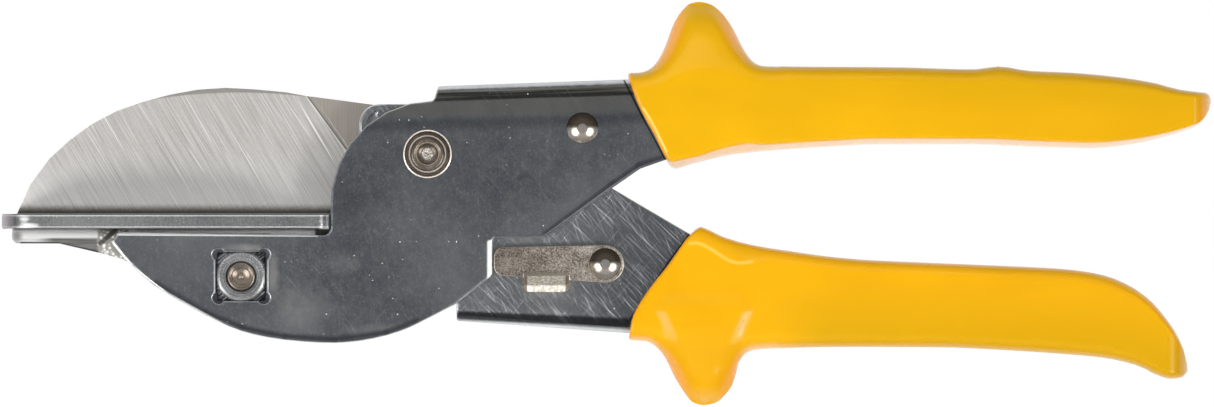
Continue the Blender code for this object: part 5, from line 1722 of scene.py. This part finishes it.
@dataclass
class DomedRivet(SubAssembly):
    """A rivet with a dome and a small flat crown on its front, and its shank behind."""

    node: str = ""
    body: Body = Body.FRAME
    middle: Point = (0.0, 0.0)
    both_ends: bool = True
    head: float = 3.45
    rise: float = 1.75
    slope: float = math.radians(57.0)
    crown: float = 0.95
    shank: float = 2.0
    tail_radius: float = 3.0
    tail_height: float = 0.9
    seat: float = 0.28
    steps: int = 18

    def dome(self) -> list[Point]:
        """Draw the dome from its crown to its rim.

        Returns:
            Radius and Y of each ring, counted from the rim's face.
        """
        ball = self.head / math.sin(self.slope)
        drop = ball * (1 - math.cos(self.slope))
        first = math.asin(self.crown / ball)
        turns = [first + (self.slope - first) * step / self.steps for step in range(self.steps + 1)]
        return [(self.crown * 0.4, -self.rise),
                *((ball * math.sin(turn), ball * (1 - math.cos(turn)) - drop) for turn in turns)]

    def dress(self) -> None:
        """Build the rivet and hand it over."""
        front, back = (corner[1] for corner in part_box(self.node))
        face = front + (self.rise + self.seat) * MM
        x, z = self.spot(*self.middle)
        profile = [*self.dome(), (self.shank, 0.0)]
        if self.both_ends:
            profile += [(radius, -2 * face / MM - y) for radius, y in profile[::-1]]
        else:
            end = (back - face) / MM
            tail = end - self.tail_height
            profile += [(self.shank, tail), (self.tail_radius, tail), (self.tail_radius, end)]
        rivet = smooth(lathe(self.node + "_domed", (x, face, z), profile), 55.0, weighted=False)
        self.hand_over(rivet, self.body, Slot.NICKEL, self.palette.domed, self.node)


@dataclass
class SafetyCatch(SubAssembly):
    """The pressed catch plate with its bent thumb tab."""

    edge: float = 0.25

    def dress(self) -> None:
        """Build the catch and hand it over."""
        catch = self.copy_of("safety_catch", "catch_plate", self.edge, 3)
        self.hand_over(catch, Body.CATCH, Slot.NICKEL, self.palette.pressed, "safety_catch")


@dataclass
class ReturnSpring(SubAssembly):
    """The torsion spring on its spool, one wire that runs between the two sheets."""

    spool: float = 3.7
    wire: float = 1.3
    turns: int = 3
    start: float = math.radians(82.4)
    half_width: float = 2.9
    foot: Point = (31.0, -33.9)
    toe: Point = (16.8, 12.15)
    clearance: float = 0.3
    per_turn: int = 36
    leg_points: int = 8

    def course(self) -> list[Vector]:
        """Draw the wire: toe under the web, turns round the spool, foot on the lever.

        Returns:
            The places along its line.
        """
        radius = self.spool + self.clearance + self.wire / 2
        centre = Vector(SPRING_RIVET_SPOT)
        away = Vector(self.foot) - centre
        end = math.atan2(away.y, away.x) + math.acos(radius / away.length)
        sweep = self.start - end + self.turns * 2 * math.pi
        count = math.ceil(sweep / (2 * math.pi) * self.per_turn)
        points = [Vector((self.toe[0], -self.half_width, self.toe[1]))]
        for share in (step / count for step in range(count + 1)):
            turn = self.start - sweep * share
            points.append(Vector((centre.x + radius * math.cos(turn), self.half_width * (2 * share - 1),
                                  centre.y + radius * math.sin(turn))))
        foot = Vector((self.foot[0], self.half_width, self.foot[1]))
        steps = range(1, self.leg_points + 1)
        return points + [points[-1].lerp(foot, step / self.leg_points) for step in steps]

    def build(self) -> Piece:
        """Give the wire its thickness.

        Returns:
            The wire.
        """
        points = self.course()
        curve = bpy.data.curves.new("return_spring_wire", "CURVE")
        curve.dimensions = "3D"
        curve.bevel_depth, curve.bevel_resolution = self.wire / 2 * MM, 3
        curve.use_fill_caps = True
        line = curve.splines.new("POLY")
        line.points.add(len(points) - 1)
        for point, (x, y, z) in zip(line.points, points):
            at_x, at_z = self.spot(x, z)
            point.co = (at_x, y * MM, at_z, 1.0)
        obj = bpy.data.objects.new("return_spring_wire", curve)
        bpy.context.scene.collection.objects.link(obj)
        take(obj)
        bpy.ops.object.convert(target="MESH")
        obj = bpy.context.object
        edit(obj, None, "VERT", lambda: bpy.ops.mesh.remove_doubles(threshold=0.001 * MM))
        return smooth(obj, 50.0, weighted=False)

    def dress(self) -> None:
        """Build the spring and its spool and hand them over."""
        spring = self.build()
        self.hand_over(spring, None, Slot.WIRE, self.palette.wire, "return_spring")
        x, z = self.spot(SPRING_RIVET_SPOT[0] + 3.0, SPRING_RIVET_SPOT[1] - 6.0)
        foot_x, foot_z = self.spot(self.foot[0], self.foot[1] + 1.0)
        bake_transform(spring)
        self.hand_over_plain(Body.FRAME, "spring_spool")


@dataclass
class AnvilTable(SubAssembly):
    """The table with its strip, the carrier below it and the screws between them."""

    edge: float = 0.2
    reach: float = 0.5
    trim: float = 0.45
    end_length: float = 6.0
    end_round: float = 0.75
    seat: float = 0.26
    carrier_edge: float = 0.12
    stops: Sequence[tuple[Point, Tint]] = (
        ((-19.2, -14.9), (2.4, 11.0, 5.0)), ((-20.7, -16.65), (4.6, 10.9, 2.3)))

    def table(self) -> Piece:
        """Lengthen the table a little at the jaw and round its free end.

        Returns:
            The table.
        """
        table = self.bare_copy("anvil_table", "anvil_table_plate")
        start, end = (corner[0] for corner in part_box("anvil_table"))
        shift(table, lambda at: at.x > end - SKIN * MM, x=self.reach)
        shift(table, lambda at: at.x < start + self.end_length * MM, x=self.trim)
        round_edges(table, self.end_round, 4, 60.0, lambda at: at.x < start + (self.trim + 0.1) * MM)
        break_edges(table, self.edge, 3)
        return smooth(table)

    def carrier(self) -> Piece:
        """Raise the carrier to the table and give it the stop for the table's end.

        Returns:
            The carrier.
        """
        carrier = self.bare_copy("anvil_carrier", "carrier_bracket")
        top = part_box("anvil_carrier")[1][2]
        shift(carrier, lambda at: at.z > top - SKIN * MM, z=self.seat)
        for middle, size in self.stops:
            x, z = self.spot(*middle)
            carve(carrier, block("stop", (x, 0.0, z), size), "UNION")
        break_edges(carrier, self.carrier_edge)
        return smooth(carrier)

    def dress(self) -> None:
        """Build the table and what holds it and hand them over."""
        self.hand_over(self.table(), Body.FRAME, Slot.TABLE, self.palette.table, "anvil_table")
        strip = self.copy_of("anvil_insert", "anvil_strip", 0.12)
        self.hand_over(strip, Body.FRAME, Slot.STRIP, self.palette.strip, "anvil_insert")
        self.hand_over(self.carrier(), Body.FRAME, Slot.ZINC, self.palette.carrier, "anvil_carrier")
        self.hand_over_plain(Body.FRAME, "table_screw_left", "table_screw_right", width=0.15)


@dataclass
class CarrierFixing(SubAssembly):
    """The square nut in its pocket, with the bolt, washer and spacer behind it.

    The cone, the bore and the dish are the radius and the depth of each ring.
    """

    flats: float = 10.0
    nut_edge: float = 0.22
    cone: Sequence[Point] = ((4.25, -0.01), (4.6, 0.12), (5.3, 0.6), (6.1, 1.35), (7.6, 2.6))
    bore: Sequence[Point] = ((3.75, -1.0), (3.6, 0.1), (3.15, 0.6))
    dish: Sequence[Point] = (
        (2.75, -1.0), (2.62, 0.02), (2.40, 0.22), (2.05, 0.30), (1.95, 0.46), (1.60, 0.62), (1.15, 0.80),
        (0.65, 0.92), (0.38, 0.95), (0.26, 0.70), (0.10, 0.62))

    def square_nut(self) -> Piece:
        """Chamfer the nut's corners and bore it.

        Returns:
            The square nut.
        """
        face, back = (corner[1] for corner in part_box("carrier_nut"))
        x, z = self.spot(*BOLT_SPOT)
        depth = (back - face) / MM
        nut = block("square_nut", (x, (face + back) / 2, z), (self.flats, depth, self.flats))
        cone = lathe("nut_cone", (x, face, z), [*self.cone, (7.6, depth + 1.0)], FINE_SIDES)
        carve(nut, cone, "INTERSECT")
        carve(nut, lathe("nut_bore", (x, face, z), [*self.bore, (3.12, depth + 1.0)], FINE_SIDES))
        break_edges(nut, self.nut_edge, 3, 28.0)
        return smooth(nut, 40.0)

    def bolt(self) -> Piece:
        """Dish and groove the bolt's front end.

        Returns:
            The bolt.
        """
        bolt = smooth(self.bare_copy("carrier_bolt", "carrier_bolt_part"))
        x, z = self.spot(*BOLT_SPOT)
        carve(bolt, lathe("end_dish", (x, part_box("carrier_bolt")[0][1], z), self.dish, FINE_SIDES))
        return smooth(bolt, 32.0)

    def dress(self) -> None:
        """Build the fixing and hand it over."""
        self.hand_over(self.square_nut(), Body.FRAME, Slot.NICKEL, self.palette.bright, "carrier_nut")
        self.hand_over(self.bolt(), Body.FRAME, Slot.NICKEL, self.palette.bolt_end, "carrier_bolt")
        self.hand_over_plain(Body.FRAME, "carrier_washer", "carrier_spacer")


# Studio


@dataclass(frozen=True)
class Lamp:
    """A soft round lamp that looks at the object, in metres and watts; mirrored ones show in metal."""

    title: str
    at: Tint
    size: float
    power: float
    mirrored: bool = True

    def build(self) -> None:
        """Add the lamp."""
        deselect()
        bpy.ops.object.light_add(type="AREA", location=self.at)
        lamp = bpy.context.object
        lamp.name = self.title
        lamp.data.shape, lamp.data.size, lamp.data.energy = "DISK", self.size, self.power
        lamp.rotation_euler = (-Vector(self.at)).to_track_quat("-Z", "Y").to_euler()
        lamp.visible_glossy = self.mirrored


@dataclass
class Studio:
    """Pale floor, plain world, soft lamps and the camera.

    The tent is the world's level from front to back.
    """

    lens: float = 450.0
    sensor: float = 36.0
    frame_width: float = 0.2513
    centre_x: float = 0.00007
    floor_size: float = 60.0
    floor_glow: float = 1.08
    floor_share: float = 0.88
    tent: Sequence[Point] = (
        (0.0, 0.15), (0.03, 0.16), (0.09, 0.30), (0.20, 0.30), (0.32, 0.13), (0.48, 0.10), (0.56, 0.20),
        (0.64, 0.95), (0.76, 1.10), (1.0, 1.15))
    lamps: Sequence[Lamp] = (
        Lamp("left_umbrella", LEFT_STAND, 1.0, 3.4), Lamp("left_lamp", LEFT_STAND, 0.27, 5.4),
        Lamp("right_umbrella", RIGHT_STAND, 1.0, 3.4), Lamp("right_lamp", RIGHT_STAND, 0.27, 5.4),
        Lamp("front_lamp", (-0.25, -1.1, 0.8), 0.9, 11.5, mirrored=False),
        Lamp("back_lamp", (0.2, 1.3, 0.2), 0.9, 7.0, mirrored=False))

    def world(self) -> None:
        """Make a world that is white to the camera and a plain tent round the object."""
        world = bpy.data.worlds.new("studio_world")
        world.use_nodes = True
        bpy.context.scene.world = world
        nodes = Nodes(world.node_tree)
        place = nodes.node("ShaderNodeTexCoord", {}).output("Generated")
        depth = nodes.node("ShaderNodeSeparateXYZ", {}, place).output("Y")
        share = nodes.node("ShaderNodeMapRange", {}, depth, -1.0, 1.0, 0.0, 1.0)
        level = nodes.ramp(self.tent, share, "B_SPLINE")
        tent = nodes.node("ShaderNodeBackground", {}, (0.98, 0.99, 1.0, 1.0), level)
        white = nodes.node("ShaderNodeBackground", {}, (1.0, 1.0, 1.0, 1.0))
        seen = nodes.node("ShaderNodeLightPath", {}).output("Is Camera Ray")
        nodes.surface("World Output", nodes.node("ShaderNodeMixShader", {}, seen, tent, white))

    def floor(self, height: float) -> None:
        """Make the floor: white, with the object's shadow, and open to light from the low lamps.

        Args:
            height: The floor's height.
        """
        deselect()
        bpy.ops.mesh.primitive_plane_add(size=self.floor_size, location=(0.0, 0.0, height))
        floor = bpy.context.object
        floor.name = "studio_floor"
        bench = Bench("studio_floor", 0.0, Base_Color=(0.9, 0.9, 0.9, 1.0), Roughness=0.9)
        glow = bench.node("ShaderNodeEmission", {}, (1.0, 1.0, 1.0, 1.0), self.floor_glow)
        clear = bench.node("ShaderNodeBsdfTransparent", {})
        path = bench.node("ShaderNodeLightPath", {})
        lit = Signal(bench, bench.shader.outputs[0])
        to_camera = path.output("Is Camera Ray") * self.floor_share
        seen = bench.node("ShaderNodeMixShader", {}, to_camera, lit, glow)
        through = path.output("Is Glossy Ray").most(path.output("Is Shadow Ray"))
        bench.surface("Material Output", bench.node("ShaderNodeMixShader", {}, through, seen, clear))
        floor.data.materials.append(bench.material)
        floor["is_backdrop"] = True

    def camera(self) -> None:
        """Add the camera square to the front face."""
        deselect()
        bpy.ops.object.camera_add(location=(self.centre_x, -self.frame_width * self.lens / self.sensor, 0.0),
                                  rotation=(math.pi / 2, 0.0, 0.0))
        camera = bpy.context.object
        camera.data.lens, camera.data.sensor_width = self.lens, self.sensor
        camera.data.clip_start, camera.data.clip_end = 0.1, 100.0
        bpy.context.scene.camera = camera

    def build(self, floor_height: float) -> None:
        """Make the whole studio.

        Args:
            floor_height: The floor's height.
        """
        bpy.context.scene.view_settings.view_transform = "Standard"
        self.world()
        self.floor(floor_height)
        for lamp in self.lamps:
            lamp.build()
        self.camera()


# Outlines of the drawing, and the places and levels of painted light and shade

UPPER_TOP = (
    (38.0, 16.6), (41.3, 16.75), (43.5, 16.8), (45.8, 17.4), (47.6, 19.0), (49.1, 22.3), (51.1, 27.4),
    (52.8, 29.9), (54.4, 31.2), (56.2, 31.49), (58.2, 31.1), (60.3, 29.7), (62.9, 26.3), (65.2, 21.9),
    (66.5, 19.6), (67.5, 18.6), (69.2, 18.2), (97.6, 17.9), (112.8, 17.5), (118.1, 18.1), (124.2, 17.2),
    (133.0, 16.8), (141.8, 16.0), (146.2, 15.4), (150.6, 14.6), (155.0, 13.4), (159.4, 12.8), (161.2, 12.6),
    (162.0, 11.4))
UPPER_LOW = (
    (38.0, -3.2), (50.2, -3.2), (55.4, -1.9), (63.3, -0.1), (71.2, 0.7), (83.0, 1.5), (93.4, 2.0),
    (111.0, 2.0),
    (128.6, 1.4), (137.4, 1.2), (146.2, 2.1), (152.8, 3.6), (157.2, 5.0), (159.4, 6.0), (161.4, 8.6),
    (162.0, 10.4))
UPPER_MOUTH = ((41.0, 16.75), (42.9, 11.4), (44.8, 7.4), (46.9, 3.7), (48.6, 0.2), (50.3, -3.2))
LOWER_TOP = (
    (38.5, -14.8), (55.8, -14.8), (57.5, -15.3), (61.3, -17.1), (67.2, -18.8), (75.1, -20.1), (83.0, -21.2),
    (90.9, -21.9), (101.6, -22.4), (116.0, -23.0), (130.4, -23.7), (135.3, -24.2), (140.3, -25.2),
    (145.3, -27.3), (149.2, -30.1), (152.8, -34.2), (155.5, -38.5), (156.9, -42.4), (157.2, -44.6))
LOWER_LOW = (
    (38.5, -38.4), (41.3, -38.4), (43.6, -38.6), (45.3, -38.7), (47.3, -39.9), (48.9, -41.8), (50.9, -45.8),
    (52.9, -49.1), (54.9, -51.4), (57.0, -51.95), (59.5, -51.5), (61.7, -49.6), (63.3, -47.1),
    (64.0, -44.3),
    (64.6, -42.3), (66.0, -40.9), (68.7, -40.4), (87.2, -39.9), (106.4, -40.0), (116.0, -40.4),
    (130.4, -41.3),
    (140.0, -42.2), (144.8, -43.2), (147.6, -44.1), (150.5, -45.6), (153.6, -46.5), (156.0, -46.2),
    (157.2, -45.0))
LOWER_MOUTH = (
    (55.8, -14.8), (54.0, -16.6), (52.2, -19.1), (49.9, -22.4), (45.8, -27.6), (42.8, -32.2), (41.8, -34.4),
    (41.1, -38.4))

# Painted highlights on the jaw's edges and notch, painted shade bands along the slant and the belly, and
# painted shadow beside the upper grip's mouth.
JAW_PAINTED_LIGHT: Sequence[Stroke] = (
    (((-64.0, -16.7), (-22.8, -16.95)), 0.06, 0.24, 0.95),
    (((-64.6, -16.25), (-22.0, -16.65)), 0.10, 0.34, 0.95),
    (((-65.0, -18.1), (-60.9, -23.5)), 0.12, 0.45, 0.95),
    (((12.85, -18.3), (12.85, -25.6)), 0.30, 0.75, 0.97),
    (((12.6, -26.0), (8.5, -29.6)), 0.04, 0.40, 0.85),
    (((24.6, -16.4), (38.1, -6.3), (43.8, -2.3)), 0.0, 1.5, 0.19),
    (((43.8, -2.3), (49.2, -0.6)), 0.0, 1.4, 0.19),
    (((24.1, -15.7), (37.6, -5.6), (43.4, -1.5)), 0.0, 0.24, 0.48),
    (((43.4, -1.5), (49.0, 0.3)), 0.0, 0.24, 0.42),
    (((-56.0, -26.7), (-46.0, -32.6)), 0.0, 1.1, 0.20),
    (((-46.0, -32.6), (-38.3, -35.9)), 0.0, 1.1, 0.18),
    (((-38.3, -35.9), (-29.4, -37.7), (-19.2, -38.3)), 0.0, 1.1, 0.16),
    (((-19.2, -38.3), (-8.5, -36.9)), 0.0, 1.1, 0.18),
    (((-8.5, -36.9), (-2.1, -34.4)), 0.0, 1.1, 0.2),
    (((40.6, 15.2), (44.5, 7.4)), 0.08, 0.3, 0.03),
    (((44.5, 7.4), (49.9, -2.6)), 0.03, 0.25, 0.04),
    (((-60.7, -23.4), (-53.9, -28.7)), 0.05, 0.3, 0.8),
    (((-53.9, -28.7), (-42.4, -35.0)), 0.03, 0.24, 0.62))
# Painted glares on the jaw plate and beside the nut's pocket.
JAW_PAINTED_GLARES = (
    ((-26.5, -31.5), 8.0, 7.0, 0.4), ((-37.6, -19.4), 5.6, 1.3, 0.8), ((-32.0, -25.0), 1.8, 6.0, 0.7),
    ((-17.5, -22.6), 4.5, 3.5, 0.3), ((-10.0, -36.5), 10.0, 2.2, 0.35), ((-3.0, -14.0), 18.0, 7.0, 0.12))
# Painted shadow along the lower grip's mouth and painted shade along the lever's bottom edge.
LEVER_PAINTED_SHADE: Sequence[Stroke] = (
    (((55.6, -14.7), (49.7, -22.4), (41.7, -34.4)), 0.05, 0.35, 0.04),
    (((6.7, -33.4), (41.0, -34.9)), 0.55, 1.35, 0.05))
# Painted highlight along the upper grip's lip.
UPPER_LIP_HIGHLIGHT: Sequence[Stroke] = (
    (((44.6, 9.4), (45.9, 7.4), (47.1, 5.2), (48.2, 2.9), (49.4, 0.5)), 0.06, 0.32, 0.8),)
# Painted highlight along the lower grip's crease.
LOWER_CREASE_HIGHLIGHT: Sequence[Stroke] = (
    (((54.2, -18.5), (55.6, -18.35), (57.0, -18.8), (58.8, -19.8), (60.6, -21.0), (62.2, -22.0),
      (63.8, -22.5), (65.4, -22.5), (67.0, -22.2)), 0.05, 0.6, 0.5),)
# Painted light and shade ring by ring: on the pivot's head, the bolt's end and the nut.
PIVOT_PAINTED_RINGS = (
    (0.0, 0.9), (1.2, 0.8), (1.5, 0.3), (2.1, 0.24), (2.35, 1.0), (2.55, 0.18), (2.75, 0.8), (3.1, 0.42),
    (3.55, 0.34), (3.75, 1.0), (3.95, 0.22), (4.3, 0.4), (4.55, 0.14), (4.8, 1.0), (5.1, 1.0))
BOLT_PAINTED_RINGS = (
    (0.0, 1.0), (0.3, 1.0), (0.5, 0.5), (1.2, 0.7), (1.9, 0.5), (2.1, 0.95), (2.3, 0.35), (2.6, 0.75),
    (2.9, 0.2), (3.2, 0.5), (12.0, 1.0))
NUT_PAINTED_RINGS = (
    (0.0, 0.5), (3.1, 0.5), (3.35, 1.0), (3.75, 1.0), (3.95, 0.55), (4.6, 0.7), (4.85, 1.0), (5.05, 0.25),
    (5.3, 0.2), (8.0, 0.3))


def main() -> None:
    """Build and dress every sub-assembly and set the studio."""
    logging.basicConfig(level=logging.INFO, format="%(message)s")
    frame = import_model()
    cad_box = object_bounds()
    joint = next(item for item in frame["joints"] if item["name"] == "handle_open")
    pivot = Vector(joint["pos_m"])
    palette = mix_palette(pivot)
    kit = (frame, pivot, palette)
    groups = (
        JawFrame(*kit), LeverSheet(*kit), Blade(*kit),
        Grip(*kit, node="upper_grip", body=Body.FRAME, vinyl=palette.upper_vinyl, half_width=9.3,
             top=UPPER_TOP,
             low=UPPER_LOW, mouth=UPPER_MOUTH, corner_low=1.0, belly=1.25, horn_base=15.5, horn_power=3.2,
             horn_soft=9.0),
        Grip(*kit, node="lower_grip", body=Body.LEVER, vinyl=palette.lower_vinyl, half_width=7.4,
             top=LOWER_TOP,
             low=LOWER_LOW, mouth=LOWER_MOUTH, horn_side=-1, horn_base=-39.0, horn_power=2.2,
             usual_height=23.6, even_from=57.0),
        PivotStack(*kit),
        DomedRivet(*kit, node="spring_rivet", body=Body.FRAME, middle=SPRING_RIVET_SPOT),
        DomedRivet(*kit, node="catch_rivet", body=Body.LEVER, middle=CATCH_RIVET_SPOT, both_ends=False),
        SafetyCatch(*kit), ReturnSpring(*kit), AnvilTable(*kit), CarrierFixing(*kit))
    for group in groups:
        group.dress()
        group.report()
    Studio().build(cad_box[0].z - FLOOR_DROP * MM)


if __name__ == "__main__":
    main()
